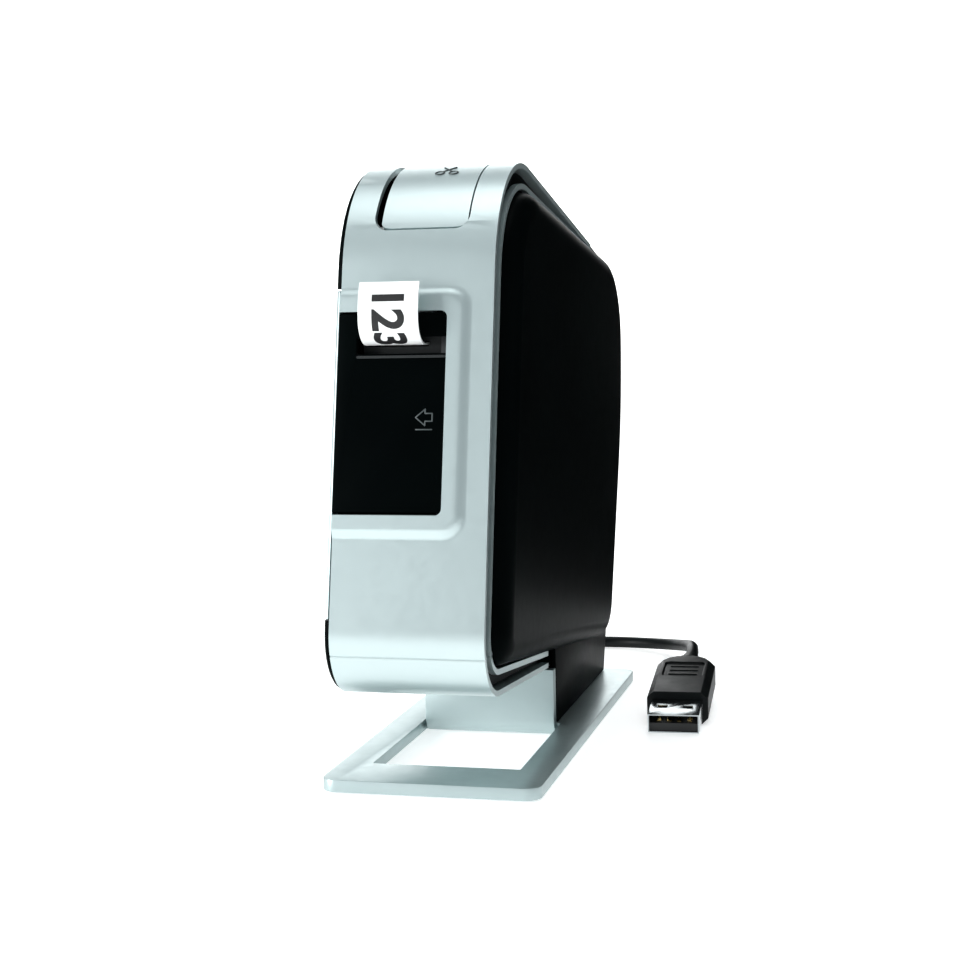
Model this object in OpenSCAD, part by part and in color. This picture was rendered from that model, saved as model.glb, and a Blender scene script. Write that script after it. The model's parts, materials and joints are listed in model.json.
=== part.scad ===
// Desktop label maker: a tall slim printer body on a flat loop stand, with its cable.
// +X is the right side seen from the front, the front faces -Y and the stand rests on Z = 0.

/* [Body] */
// Length of the body, front to back
body_l = 152; // [146:1:185]
// Height of the body's top above the desk
body_h = 131.2; // [129:0.1:160]
// Width of the silver band
body_w = 32.5; // [32:0.1:40]
// Sideways place of the body's middle over the stand
body_x = -1.75; // [-2:0.05:0.5]
// Height of the body's underside at the front
under_z = 20.9; // [19:0.1:24]
// Wall thickness of the shells
wall = 2; // [1.6:0.1:2.2]
// Radius of the front lower corner
chin_r = 12.7; // [11:0.1:15]
// Radius of the front upper corner
brow_r = 28; // [26:1:32]
// Radius of the rear upper corner
crown_r = 23; // [20:1:27]
// Radius of the long curve of the back
back_r = 100; // [95:5:120]
// Radius of the rear lower corner
heel_r = 12; // [10:0.5:13]
// Visible width of the silver rim on the side
rim_w = 4.4; // [3.5:0.1:5.5]
// Width of the dark groove inside the rim
groove_w = 1.9; // [1.4:0.1:2.4]
// How far the right cover bulges past the band
cover_bulge = 3.5; // [2.5:0.1:4.5]
// How far the left door bulges past the band
door_bulge = 1.5; // [1:0.1:2.5]

/* [Window and slot] */
// Right edge of the window, measured from the band's right edge
window_side = 9.5; // [9:0.1:12]
// Drop from the body's top to the window's top edge
window_drop = 31.2; // [30:0.1:34]
// Height of the window
window_h = 41; // [36:0.5:44]
// Drop from the body's top to the tape's plane
tape_drop = 38; // [37:0.1:39]
// Height of the label slot
slot_h = 3.4; // [3:0.1:4]

/* [Tape] */
// Width of the label tape
tape_w = 12.7; // [9:0.1:12.8]
// Thickness of the label
label_t = 0.4; // [0.3:0.05:0.5]
// Radius of the tape roll
roll_r = 17; // [12:0.5:17]
// Length of the tape cassette, front to back
cassette_l = 53; // [52:0.5:56]
// Height of the tape cassette
cassette_h = 44; // [42:0.5:45]
// Wall thickness of the cassette
cassette_wall = 1.2; // [1:0.1:1.4]

/* [Cutter] */
// Width of the cutter button
button_w = 18.4; // [16:0.1:20]
// Width of the dark channel on the left of the button
channel_w = 1.7; // [1:0.1:2.2]
// Drop from the body's top to the button's lower edge
button_drop = 14.2; // [13:0.1:15]
// Travel of the blade
blade_travel = 2.8; // [2.4:0.1:3]

/* [Stand] */
// Width of the stand plate
stand_w = 47; // [44:0.5:57]
// Length of the stand plate
stand_l = 122; // [116:1:140]
// Thickness of the stand plate
stand_t = 2.6; // [2.2:0.1:3]
// Radius of the stand plate's corners
stand_r = 3.5; // [2:0.1:5]
// Width of the front arm of the loop
front_arm = 14.8; // [12:0.1:18]
// Width of the side arms of the loop
side_arm = 7.2; // [6:0.1:7.8]
// Height of the rubber feet below the plate
foot_h = 0.4; // [0.3:0.1:0.6]
// Diameter of the rubber feet
foot_d = 5; // [4:0.1:5.4]
// Slit between the bent leg and the side arms
leg_gap = 0.8; // [0.5:0.1:1.2]
// Distance from the stand's front edge to the leg
leg_back = 54; // [50:1:60]

/* [Drive] */
// Gear module
gear_m = 0.6; // [0.55:0.05:0.6]
// Teeth on the motor pinion
pinion_z = 10; // [10:2:12]
// Teeth on the large idler wheel
idler_big_z = 36; // [34:2:38]
// Teeth on the small idler wheel
idler_small_z = 16; // [16:2:18]
// Teeth on the platen gear
platen_z = 24; // [24:4:28]
// Teeth on the ribbon take-up gear
takeup_z = 28; // [26:2:30]
// Radius of the rubber platen roller
platen_r = 4; // [3.5:0.1:4.2]
// Diameter of the steel shafts
shaft_d = 2.5; // [2:0.1:3]
// Radial running clearance of shafts in their holes
run_gap = 0.06; // [0.04:0.01:0.08]
// Diameter of the motor can
motor_d = 13.6; // [12:0.1:14]
// Length of the motor can
motor_l = 15; // [12:0.5:16]

/* [Power] */
// Diameter of the power button's cap
power_d = 9; // [7:0.1:10]
// Travel of the power button
power_travel = 0.6; // [0.4:0.1:0.8]
// Thickness of the battery pack
battery_t = 12; // [10:0.5:13]
// Height of the battery pack
battery_h = 42; // [36:1:46]
// Length of the battery pack, front to back
battery_l = 32; // [26:1:33]

/* [Cable] */
// Diameter of the cable
cord_d = 3.2; // [3:0.1:3.4]
// Middle radius of the coil
coil_r = 17.5; // [16.5:0.5:18]

/* [Fits] */
// Gap between fixed pieces
gap = 0.15; // [0.1:0.01:0.2]
// Gap around moving covers and buttons
play = 0.35; // [0.3:0.01:0.5]

/* [Hidden] */

$fn = 48;
silver = [0.80, 0.84, 0.84];
black = [0.06, 0.08, 0.08];
grey = [0.45, 0.47, 0.48];
steel = [0.72, 0.73, 0.74];
white = [0.94, 0.95, 0.94];

// Ends of the body and of the band
front_y = -body_l / 2;
back_y = body_l / 2;
left_x = body_x - body_w / 2;
right_x = body_x + body_w / 2;

// Corner circles of the side outline: [y, z, radius], turning from the heel up the back
heel = [back_y - 31.5, under_z - 8.9 + heel_r, heel_r];
crown = [back_y - crown_r, body_h - 17.2 - crown_r, crown_r];
spine = [back_y - back_r, crown[1], back_r];
brow = [front_y + 14.9 + brow_r, body_h - brow_r, brow_r];
chin = [front_y + chin_r, under_z + chin_r, chin_r];
corner_steps = [6, 8, 10, 14, 12];

// Window, slot and tape plane
window_x = right_x - window_side;
window_top = body_h - window_drop;
window_low = window_top - window_h;
tape_z = body_h - tape_drop;
slot_low = tape_z - slot_h / 2 - 0.2;

// Tape bay, from the door inwards
door_inner_x = left_x + wall;
cassette_x = door_inner_x + 0.8;
cassette_t = tape_w + 4.9;
tape_x = cassette_x + cassette_t / 2;
chassis_x = cassette_x + cassette_t + 0.7;
chassis_t = 1.6;
gear_x = chassis_x + chassis_t + 0.6;
gear_t = 2;
gear_step = gear_t + 0.4;
board_x = gear_x + gear_step + gear_t + 0.6;
board_t = 1.2;

// Drive train, one above the other, and the tape path in front of the cassette
train_y = front_y + 27;
platen_c = [train_y, tape_z + platen_r + 0.3];
idler_c = [train_y, platen_c[1] - gear_m * (platen_z + idler_small_z) / 2];
motor_c = [train_y, idler_c[1] - gear_m * (idler_big_z + pinion_z) / 2];
takeup_c = [train_y + gear_m * (platen_z + takeup_z) / 2, platen_c[1]];
cassette_y = train_y + 8.6;
cassette_rise = 14.5;
cassette_low = tape_z + cassette_rise - cassette_h;
// The roll's share of the spare height inside the cassette that lies under it
roll_rest = 11 / 38;
roll_spare = cassette_h - 2 * cassette_wall - 2 * roll_r;
roll_c = [cassette_y + cassette_l - roll_r - 2.6,
    cassette_low + cassette_wall + roll_r + roll_rest * roll_spare];
supply_c = [cassette_y + 9.6, cassette_low + 9.6];
supply_r = 7;
takeup_r = 4.6;
blade_y = front_y + 18.6;
blade_t = 0.5;

// Cutter button: starts at the front, turns about a pin just inside its lower edge
button_x = right_x - 6.4 - button_w;
button_low = body_h - button_drop;
button_end_y = front_y + 55;
button_t = 2.2;
pin_c = [front_y + 22.6, button_low - 0.4];
pin_d = 2;
band_end_y = back_y - 30;

// Stand
plate_z = foot_h;
plate_top = plate_z + stand_t;
stand_y = front_y + 7;
leg_y = stand_y + leg_back;
leg_x0 = -stand_w / 2 + side_arm + leg_gap;
leg_x1 = stand_w / 2 - side_arm - leg_gap;
leg_top = plate_z + leg_back - front_arm - 4;
neck_z = plate_top + gap;
neck_y0 = leg_y + stand_t + gap;
neck_y1 = stand_y + stand_l - 2.5;

// Cable: route points chosen by hand, in millimetres, from the neck to the coil and on to the plug
coil_c = [-30, 112];
tie_t = 0.5;
port_z = 7.6;
port_y = 52.4;
near_route = [[0, 70, 7.6], [0, 75, 7.6], [-0.6, 80, 7.4], [-1.9, 85, 7], [-3.8, 90, 6.6],
    [-5.8, 95, 6.2], [-7.4, 100, 5.8]];
far_route = [[-17, 91.6, 1.8], [-10, 92.8, 1.7], [-2, 95, 1.7], [6, 96.8, 1.7], [13, 96.6, 1.8],
    [20, 94, 2.2], [26.6, 89, 3], [31.6, 82, 4.2], [35.2, 73, 5.8], [37.4, 64, 7.2],
    [38.6, 56, 7.9], [39.3, 50, 8], [39.5, 46.5, 7.8]];
plug_tail = [39.5, 46.5, 7.8];
plug_turn = 3;
plug_tilt = 5;
plug_l = 43;
plug_w = 14.6;
plug_h = 8;
relief_l = 9;
shell_w = 12;
shell_h = 4.5;
shell_l = 12;
shell_wall = 0.35;

// Angle of the outward normal of the line that touches two corner circles, from -100 degrees up
function touch_angle(a, b) =
    let (d = [b[0] - a[0], b[1] - a[1]],
         turn = atan2(d[1], d[0]) - acos(max(-1, min(1, (a[2] - b[2]) / norm(d)))))
    turn - 360 * floor((turn + 100) / 360);

function arc_points(c, from, to, n) =
    [for (i = [0:n]) let (a = from + (to - from) * i / n) [c[0] + c[2] * cos(a), c[1] + c[2] * sin(a)]];

// Side outline of the body, pulled in by front_in at the front and by back_in at the back
function outline(front_in, back_in) =
    let (c = [[heel[0], heel[1], heel[2] - back_in], [spine[0], spine[1], spine[2] - back_in],
              [crown[0], crown[1], crown[2] - back_in], [brow[0], brow[1], brow[2] - front_in],
              [chin[0], chin[1], chin[2] - front_in]],
         first = touch_angle(c[4], c[0]),
         ends = [touch_angle(c[0], c[1]), touch_angle(c[1], c[2]), touch_angle(c[2], c[3]),
                 touch_angle(c[3], c[4]), first + 360])
    [for (k = [0:4]) each arc_points(c[k], k == 0 ? first : ends[k - 1], ends[k], corner_steps[k])];

// Draws a side-view shape as a slab between two X places
module slab(x0, x1) {
    translate([x0, 0, 0]) rotate([90, 0, 90]) linear_extrude(x1 - x0) children();
}

module body_shape(front_in, back_in) {
    polygon(outline(front_in, back_in));
}

module box(x0, x1, y0, y1, z0, z1) {
    translate([x0, y0, z0]) cube([x1 - x0, y1 - y0, z1 - z0]);
}

module rounded_rect(w, l, r) {
    square([w - 2 * r, l], center = true);
    square([w, l - 2 * r], center = true);
    for (sx = [-1, 1], sy = [-1, 1]) {
        translate([sx * (w / 2 - r), sy * (l / 2 - r)]) circle(r);
    }
}

// Round bar or hole along X through a side-view point
module bar(c, d, x0, x1) {
    translate([x0, c[0], c[1]]) rotate([0, 90, 0]) cylinder(d = d, h = x1 - x0);
}

// Skin between two nested outlines with matching points, flat base at x0, crest at x1
module pillow(x0, x1, front_in, back_in, edge) {
    steps = 5;
    rings = [for (k = [0:steps])
        let (a = 90 * k / steps, inset = edge * (1 - cos(a)), x = x0 + (x1 - x0) * sin(a))
        [for (p = outline(front_in + inset, back_in + inset)) [x, p[0], p[1]]]];
    n = len(rings[0]);
    points = [for (r = rings) each r];
    sides = [for (k = [0:steps - 1], i = [0:n - 1]) let (j = (i + 1) % n)
        each [[k * n + i, (k + 1) * n + j, k * n + j], [k * n + i, (k + 1) * n + i, (k + 1) * n + j]]];
    foot = [for (i = [0:n - 1]) i];
    crest = [for (i = [n - 1:-1:0]) steps * n + i];
    polyhedron(points, concat([foot], [crest], sides));
}

// Spur gear with straight-sided teeth, centred on a side-view point
module gear(c, teeth, x, t, bore, turn) {
    pitch_r = gear_m * teeth / 2;
    root_r = pitch_r - 1.25 * gear_m;
    tip_r = pitch_r + 0.85 * gear_m;
    translate([x, c[0], c[1]]) rotate([90, 0, 90]) linear_extrude(t) difference() {
        union() {
            circle(root_r);
            for (i = [0:teeth - 1]) {
                rotate(turn + 360 * i / teeth) polygon([
                    [root_r - 0.3, -0.62 * gear_m], [pitch_r, -0.66 * gear_m], [tip_r, -0.3 * gear_m],
                    [tip_r, 0.3 * gear_m], [pitch_r, 0.66 * gear_m], [root_r - 0.3, 0.62 * gear_m]]);
            }
        }
        circle(d = bore);
    }
}

// Helical spring with its axis along Z
module coil_spring(r, wire, height, turns) {
    per_turn = 12;
    sides = 6;
    count = per_turn * turns;
    points = [for (i = [0:count], k = [0:sides - 1])
        let (a = 360 * i / per_turn, b = 360 * k / sides, q = r + wire / 2 * cos(b))
        [q * cos(a), q * sin(a), wire / 2 + (height - wire) * i / count + wire / 2 * sin(b)]];
    skin = [for (i = [0:count - 1], k = [0:sides - 1]) let (m = (k + 1) % sides)
        [i * sides + k, (i + 1) * sides + k, (i + 1) * sides + m, i * sides + m]];
    start = [for (k = [0:sides - 1]) k];
    finish = [for (k = [sides - 1:-1:0]) count * sides + k];
    polyhedron(points, concat([start], [finish], skin));
}

// Tube swept along route points, its rings square to the route
function unit(v) = v / norm(v);
function route_dir(p, i) =
    i == 0 ? unit(p[1] - p[0]) :
    i == len(p) - 1 ? unit(p[i] - p[i - 1]) :
    unit(unit(p[i + 1] - p[i]) + unit(p[i] - p[i - 1]));

module tube(p, d) {
    sides = 8;
    n = len(p);
    points = [for (i = [0:n - 1], k = [0:sides - 1])
        let (t = route_dir(p, i), u = unit(cross(t, [0, 0, 1])), v = cross(u, t), a = 360 * (k + 0.5) / sides)
        p[i] + d / 2 * (cos(a) * u + sin(a) * v)];
    skin = [for (i = [0:n - 2], k = [0:sides - 1]) let (m = (k + 1) % sides)
        let (a = i * sides, b = a + sides)
        each [[a + k, a + m, b + m], [a + k, b + m, b + k]]];
    start = [for (k = [sides - 1:-1:0]) k];
    finish = [for (k = [0:sides - 1]) (n - 1) * sides + k];
    polyhedron(points, concat([start], [finish], skin));
}

// Underside height of the body at a place along Y
function under_at(y) =
    let (a = [chin[0], chin[1] - chin[2]], b = [heel[0], heel[1] - heel[2]])
    a[1] + (b[1] - a[1]) * (y - a[0]) / (b[0] - a[0]);

// Point on the sloping top, a distance behind the brow, and the top's tilt
top_turn = touch_angle(crown, brow);
top_tilt = 90 - top_turn;
function top_point(s) = [brow[0] + brow[2] * cos(top_turn) + s * sin(top_turn),
                         brow[1] + brow[2] * sin(top_turn) - s * cos(top_turn)];
power_c = top_point(36);

// Recess in the band and the rear shell that the right cover's bulge stands in
cover_base_x = right_x - 1.45;
module cover_recess() {
    slab(cover_base_x - 0.1, right_x + 1) body_shape(rim_w, 0.9);
}

// Side-view regions kept by the silver band and by the rear shell
module band_region() {
    polygon([[front_y - 5, under_z - 12], [leg_y - play, under_z - 12], [leg_y - play, body_h / 2],
             [band_end_y, body_h / 2], [band_end_y, body_h + 5], [front_y - 5, body_h + 5]]);
}
module rear_region() {
    polygon([[leg_y + stand_t + play, under_z - 12], [back_y + 5, under_z - 12], [back_y + 5, body_h + 5],
             [band_end_y + gap, body_h + 5], [band_end_y + gap, body_h / 2],
             [leg_y + stand_t + play, body_h / 2]]);
}

// Stand
foot_x = stand_w / 2 - side_arm / 2;
foot_places = [for (x = [-foot_x, foot_x], y = [stand_y + 6, stand_y + stand_l - 6]) [x, y]];
neck_screw_y = [neck_y0 + 10, neck_y1 - 24];
wire_y = neck_y1 - 34;
leg_screw_x = [-7, 7];
leg_screw_z = leg_top - 5;
screw_d = 2.5;

module stand_plate() {
    bend = stand_t + 1.2;
    open_w = stand_w - 2 * side_arm;
    neck_in = under_at(leg_y) - 0.6;
    color(silver) {
        difference() {
            translate([0, stand_y + stand_l / 2, plate_z]) linear_extrude(stand_t) difference() {
                rounded_rect(stand_w, stand_l, stand_r);
                translate([-open_w / 2, front_arm - stand_l / 2])
                    square([open_w, leg_back + bend - front_arm]);
            }
            for (p = foot_places) {
                translate([p[0], p[1], plate_z - 1]) cylinder(d = foot_d + 2 * gap, h = 1.5);
            }
            for (y = neck_screw_y) {
                translate([0, y, plate_z - 1]) cylinder(d = screw_d + 0.4, h = stand_t + 2);
                translate([0, y, plate_z - 1]) cylinder(d = 5.4, h = 2.4);
            }
        }
        difference() {
            slab(leg_x0, leg_x1) polygon(concat(
                arc_points([leg_y + bend, plate_z + bend, bend], 180, 270, 8),
                [[leg_y + bend + 0.4, plate_z], [leg_y + bend + 0.4, plate_top]],
                arc_points([leg_y + bend, plate_z + bend, bend - stand_t], 270, 180, 8),
                [[leg_y + stand_t, leg_top], [leg_y, leg_top]]));
            box(leg_x0 - 1, left_x + wall + 3, leg_y - 1, leg_y + stand_t + 1, neck_in, leg_top + 1);
            box(right_x - 4, leg_x1 + 1, leg_y - 1, leg_y + stand_t + 1, neck_in, leg_top + 1);
            for (x = leg_screw_x) {
                translate([x, leg_y - 1, leg_screw_z]) rotate([-90, 0, 0])
                    cylinder(d = screw_d + 0.4, h = stand_t + 2);
            }
        }
    }
}

module foot_pads() {
    color([0.12, 0.12, 0.12]) for (p = foot_places) {
        translate([p[0], p[1], 0]) cylinder(d = foot_d, h = plate_z + 0.5);
    }
}

module screw(d, head_d, head_h, l) {
    cylinder(d = head_d, h = head_h);
    translate([0, 0, head_h]) cylinder(d = d, h = l);
}

module stand_screws() {
    color(steel) for (x = leg_screw_x) {
        translate([x, leg_y - 1.7, leg_screw_z]) rotate([-90, 0, 0]) screw(screw_d, 4.6, 1.7, stand_t + 4);
    }
}

module neck_profile(top) {
    polygon([[neck_y0, neck_z + 1.4], [neck_y0 + 1.4, neck_z], [neck_y1, neck_z],
             [neck_y1 + 6.3, under_z - 2.4], [neck_y1 + 6.3, top],
             [neck_y0, top]]);
}

module neck_housing() {
    ear_top = under_z + 2.6;
    color(black) {
        difference() {
            slab(leg_x0, leg_x1) difference() {
                neck_profile(under_z - 2.4);
                body_shape(-gap, -gap);
            }
            slab(leg_x0 + wall, leg_x1 - wall) difference() {
                polygon([[neck_y0 + wall, neck_z - 1], [neck_y1 - wall, neck_z - 1],
                         [neck_y1 - wall, under_z], [neck_y0 + wall, under_z]]);
                body_shape(-gap - 1.4, -gap - 1.4);
            }
            box(-4.4, 4.4, neck_y1 - wall - 1, port_y + 4, port_z - 1.9, port_z + 1.9);
            box(-5.7, 5.7, port_y - 0.4, port_y + 8, port_z - 3.8, port_z + 3.8);
            translate([0, wire_y, neck_z]) cylinder(d = 6, h = 20);
        }
        slab(right_x + gap, leg_x1) neck_profile(ear_top);
        for (y = neck_screw_y) {
            translate([0, y, neck_z]) difference() {
                cylinder(d = 6, h = under_at(y) - neck_z - 1);
                translate([0, 0, -1]) cylinder(d = screw_d, h = 7.5);
            }
        }
    }
}

module neck_screws() {
    color(steel) for (y = neck_screw_y) {
        translate([0, y, plate_z + 0.1]) screw(screw_d, 4.8, 1.2, 6.5);
    }
}

// Body shells
cover_screw_places = [[front_y + 16, under_z + 15], [back_y - 13, crown[1] + 2], [back_y - 36, under_z + 9],
    [front_y + 66, body_h - 15]];
lug_r = 2.6;

module cutter_lugs() {
    for (x = [button_x - channel_w - 2.2, button_x + button_w + play]) {
        slab(x, x + 2.2) difference() {
            union() {
                translate(pin_c) circle(lug_r);
                translate([pin_c[0] - 4, pin_c[1] - lug_r]) square([4, 2 * lug_r]);
            }
            translate(pin_c) circle(d = pin_d);
        }
    }
}

module front_band() {
    color(silver) {
        difference() {
            slab(left_x, right_x) intersection() {
                difference() {
                    body_shape(0, 0);
                    body_shape(wall, wall);
                }
                band_region();
            }
            box(left_x - 1, window_x, front_y - 5, front_y + 25, window_low, window_top);
            box(button_x - channel_w, button_x + button_w + play, front_y - 5, button_end_y + 1.9,
                button_low - play, body_h + 5);
            translate([body_x, power_c[0], power_c[1]]) rotate([-top_tilt, 0, 0])
                translate([0, 0, -8]) cylinder(d = power_d + 3 + 2 * gap, h = 16);
            cover_recess();
        }
        slab(right_x - 1.3, right_x) intersection() {
            difference() {
                body_shape(wall / 2, wall / 2);
                body_shape(rim_w, 0.9);
            }
            band_region();
        }
        intersection() {
            cutter_lugs();
            slab(left_x, right_x) body_shape(wall / 2, wall / 2);
        }
    }
}

module rear_shell() {
    color(black) difference() {
        slab(left_x, right_x) intersection() {
            difference() {
                body_shape(0, 0);
                body_shape(wall, wall);
            }
            rear_region();
        }
        translate([0, wire_y, under_z - 12]) cylinder(d = 6, h = 14);
        cover_recess();
    }
}

module neck_clear() {
    slab(right_x - 1.4, right_x + cover_bulge + 1) polygon([[neck_y0 - play, 0], [back_y, 0],
        [back_y, under_z + 2.8], [neck_y0 - play, under_z + 2.8]]);
}

module right_cover() {
    skin = 1.9;
    color(black) difference() {
        union() {
            difference() {
                union() {
                    slab(cover_base_x - 1.15, cover_base_x) body_shape(wall + gap, wall + gap);
                    pillow(cover_base_x - 0.01, right_x + cover_bulge, rim_w + groove_w, 1.2, 5);
                }
                slab(cover_base_x - 2, right_x + cover_bulge - skin) body_shape(rim_w + groove_w + 4.5, 6.5);
            }
            for (c = cover_screw_places) {
                bar(c, 5, chassis_x + chassis_t, right_x + cover_bulge - skin + 0.1);
            }
        }
        neck_clear();
        for (c = cover_screw_places) {
            bar(c, 2, chassis_x, chassis_x + chassis_t + 6);
        }
    }
}

module cover_screws() {
    color(steel) for (c = cover_screw_places) {
        translate([chassis_x - 1.3, c[0], c[1]]) rotate([0, 90, 0]) screw(2, 4, 1.3, 6.5);
    }
}

// Cassette door on the left
door_low = window_low - 21;
door_top = window_top + 4.4;
hinge_c = [left_x + 0.8, back_y - 22];
hinge_r = 2.3;
hinge_pin_d = 2;
hinge_lug_l = 6;
knuckle_l = 9;
skin_x = left_x - door_bulge;

// Side-view field of the door, pulled in all round by d; the hinge side ends at the knuckle
module door_field(d) {
    polygon([[front_y - 5, door_low + d], [hinge_c[1], door_low + d], [hinge_c[1], door_top - d],
             [front_y - 5, door_top - d]]);
}

module left_pillow() {
    mirror([1, 0, 0]) pillow(-left_x + gap, -skin_x, 0.3, 0.3, 2);
}

module left_cover() {
    color(black) {
        difference() {
            union() {
                left_pillow();
                slab(left_x - gap - 0.01, left_x + wall) body_shape(wall + gap, wall + gap);
                for (z = [door_low - play - hinge_lug_l, door_top + play]) {
                    translate([hinge_c[0], hinge_c[1], z]) cylinder(r = hinge_r, h = hinge_lug_l);
                }
            }
            slab(skin_x - 1, left_x + wall + 3) polygon([[front_y - 5, door_low - play],
                [hinge_c[1] + hinge_r + play, door_low - play],
                [hinge_c[1] + hinge_r + play, door_top + play],
                [front_y - 5, door_top + play]]);
            translate([hinge_c[0], hinge_c[1], door_low - 8]) cylinder(d = hinge_pin_d + 2 * run_gap, h = 9);
            translate([hinge_c[0], hinge_c[1], door_top - 1]) cylinder(d = hinge_pin_d + 2 * run_gap, h = 9);
        }
    }
}

module door_knuckles() {
    for (z = [door_low, door_top - knuckle_l]) {
        translate([hinge_c[0], hinge_c[1], z]) cylinder(r = hinge_r, h = knuckle_l);
    }
}

module door_panel() {
    color(black) difference() {
        union() {
            intersection() {
                left_pillow();
                slab(skin_x - 1, left_x) intersection() {
                    door_field(3);
                    body_shape(rim_w, 0);
                }
            }
            slab(left_x - play, left_x + wall) difference() {
                intersection() {
                    door_field(0.4);
                    body_shape(wall + 0.4, wall + 0.4);
                }
                translate([-8, 0]) intersection() {
                    door_field(5);
                    body_shape(-2, -2);
                }
            }
            door_knuckles();
        }
        translate([hinge_c[0], hinge_c[1], door_low - 1])
            cylinder(d = hinge_pin_d, h = door_top - door_low + 2);
    }
}

module door_rim() {
    color(silver) intersection() {
        left_pillow();
        slab(skin_x - 1, left_x - play) difference() {
            intersection() {
                door_field(0);
                translate([-hinge_r - 0.2, 0]) door_field(0);
            }
            intersection() {
                door_field(3);
                body_shape(rim_w, 0);
            }
        }
    }
}

module door_window() {
    color(black) difference() {
        slab(left_x - play, window_x - play) intersection() {
            difference() {
                body_shape(0.25, 0.25);
                body_shape(wall + 0.4, wall + 0.4);
            }
            polygon([[front_y - 5, window_low + play], [front_y + 30, window_low + play],
                     [front_y + 30, window_top - play], [front_y - 5, window_top - play]]);
        }
        box(tape_x - tape_w / 2 - 1.6, window_x + 1, front_y - 5, front_y + 30, slot_low, slot_low + slot_h);
    }
}

module door_hinge_pins() {
    color(steel) for (z = [door_low - 5.5, door_top - 7]) {
        translate([hinge_c[0], hinge_c[1], z]) cylinder(d = hinge_pin_d, h = 12.5);
    }
}

latch_z = window_low + 8;
latch_y = front_y + 13.4;

module door_latch() {
    color(grey) {
        intersection() {
            box(window_x - 2.6, window_x - 1, front_y, latch_y, latch_z, latch_z + 6);
            slab(left_x, right_x) body_shape(wall + 0.4, wall);
        }
        box(window_x - 2.6, window_x + 0.5, latch_y - 1.2, latch_y, latch_z, latch_z + 6);
    }
}

// Cutter
carrier_w = tape_w + 2.5;
arm_z = cassette_low + cassette_h + blade_travel + 0.7;
arm_t = 2.5;
push_y = button_end_y - 7;
push_z = body_h - 12.2;
button_mid = button_x + button_w / 2;
spring_cup_d = 7.4;
spring_y = train_y + 2;

module cutter_button() {
    color(silver) difference() {
        union() {
            slab(button_x, button_x + button_w) intersection() {
                difference() {
                    body_shape(0, 0);
                    body_shape(button_t, button_t);
                }
                polygon([[front_y, button_low], [button_end_y, button_low], [button_end_y, body_h + 2],
                         [front_y, body_h + 2]]);
            }
            intersection() {
                slab(button_x + 0.4, button_x + button_w - 0.4) union() {
                    intersection() {
                        translate(pin_c) circle(lug_r - 0.2);
                        body_shape(wall + play, wall);
                    }
                    translate([pin_c[0] - 4, button_low]) square([4, 3.6]);
                }
                slab(left_x, right_x) body_shape(0.6, 0.6);
            }
            box(button_mid - 3, button_mid + 3, push_y - 1, push_y + 1, push_z + play, body_h - 2.4);
        }
        bar(pin_c, pin_d + 2 * run_gap, button_x - 1, button_x + button_w + 1);
    }
}

module cutter_pin() {
    color(steel) bar(pin_c, pin_d, button_x - channel_w - 2, button_x + button_w + play + 2);
}

module cutter_guide() {
    rail_x0 = tape_x - carrier_w / 2 - 0.3;
    rail_x1 = tape_x + carrier_w / 2 + 0.3;
    color(black) {
        box(rail_x0 - 1.1, rail_x0, blade_y - 0.6, blade_y + 3, tape_z + 3, tape_z + 12.5);
        box(rail_x1, chassis_x, blade_y - 0.6, blade_y + 3, tape_z + 3, tape_z + 12.5);
        box(rail_x0 - 1.1, chassis_x, blade_y - 1.4, blade_y - 0.6, tape_z + 7, tape_z + 11);
        box(button_mid - 4, chassis_x, blade_y + 2.9, spring_y + 4, platen_c[1] + platen_r + 0.6,
            platen_c[1] + platen_r + 1.6);
    }
}

module blade_carrier() {
    color([0.85, 0.86, 0.85]) difference() {
        union() {
            box(tape_x - carrier_w / 2, tape_x + carrier_w / 2, blade_y + blade_t, blade_y + 2.2,
                tape_z + 3.2, arm_z + 0.2);
            box(button_mid - 3, button_mid + 3, blade_y + 2.2, push_y + 1.5, arm_z, arm_z + arm_t);
            box(button_mid - 3, button_mid + 3, blade_y + blade_t + 0.2, blade_y + 2.3,
                arm_z - 2.4, arm_z + arm_t - 2);
            box(button_mid - 3, button_mid + 3, push_y - 1.5, push_y + 1.5, arm_z, push_z);
            translate([button_mid, spring_y, arm_z]) cylinder(d = spring_cup_d, h = 4.4);
        }
        translate([button_mid, spring_y, arm_z - 1]) cylinder(d = 5.6, h = 4.4);
    }
}

module cutter_blade() {
    w = tape_w + 1.6;
    color(steel) box(tape_x - w / 2, tape_x + w / 2, blade_y, blade_y + blade_t, tape_z + 0.9, tape_z + 9);
}

module cutter_spring() {
    seat = platen_c[1] + platen_r + 1.6;
    color(steel) translate([button_mid, spring_y, seat]) coil_spring(2.1, 0.5, arm_z - seat + 0.2, 5);
}

// Label
label_bend = 5.2;
label_curl = 16;
label_start = blade_y - 0.5;
label_turn_y = front_y + 14;

// Side view of the label: straight through the slot, up in a bend and back in a wide curl
module label_side(t) {
    bend_c = [label_turn_y, tape_z + label_bend];
    curl_c = [label_turn_y - label_bend + label_curl, tape_z + label_bend];
    polygon(concat([[label_start, tape_z - t]],
        arc_points([bend_c[0], bend_c[1], label_bend + t], 270, 180, 10),
        arc_points([curl_c[0], curl_c[1], label_curl + t], 180, 152, 6),
        arc_points([curl_c[0], curl_c[1], label_curl - t], 152, 180, 6),
        arc_points([bend_c[0], bend_c[1], label_bend - t], 180, 270, 10), [[label_start, tape_z + t]]));
}

module label_strip() {
    color(white) slab(tape_x - tape_w / 2, tape_x + tape_w / 2) label_side(label_t / 2);
}

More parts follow.
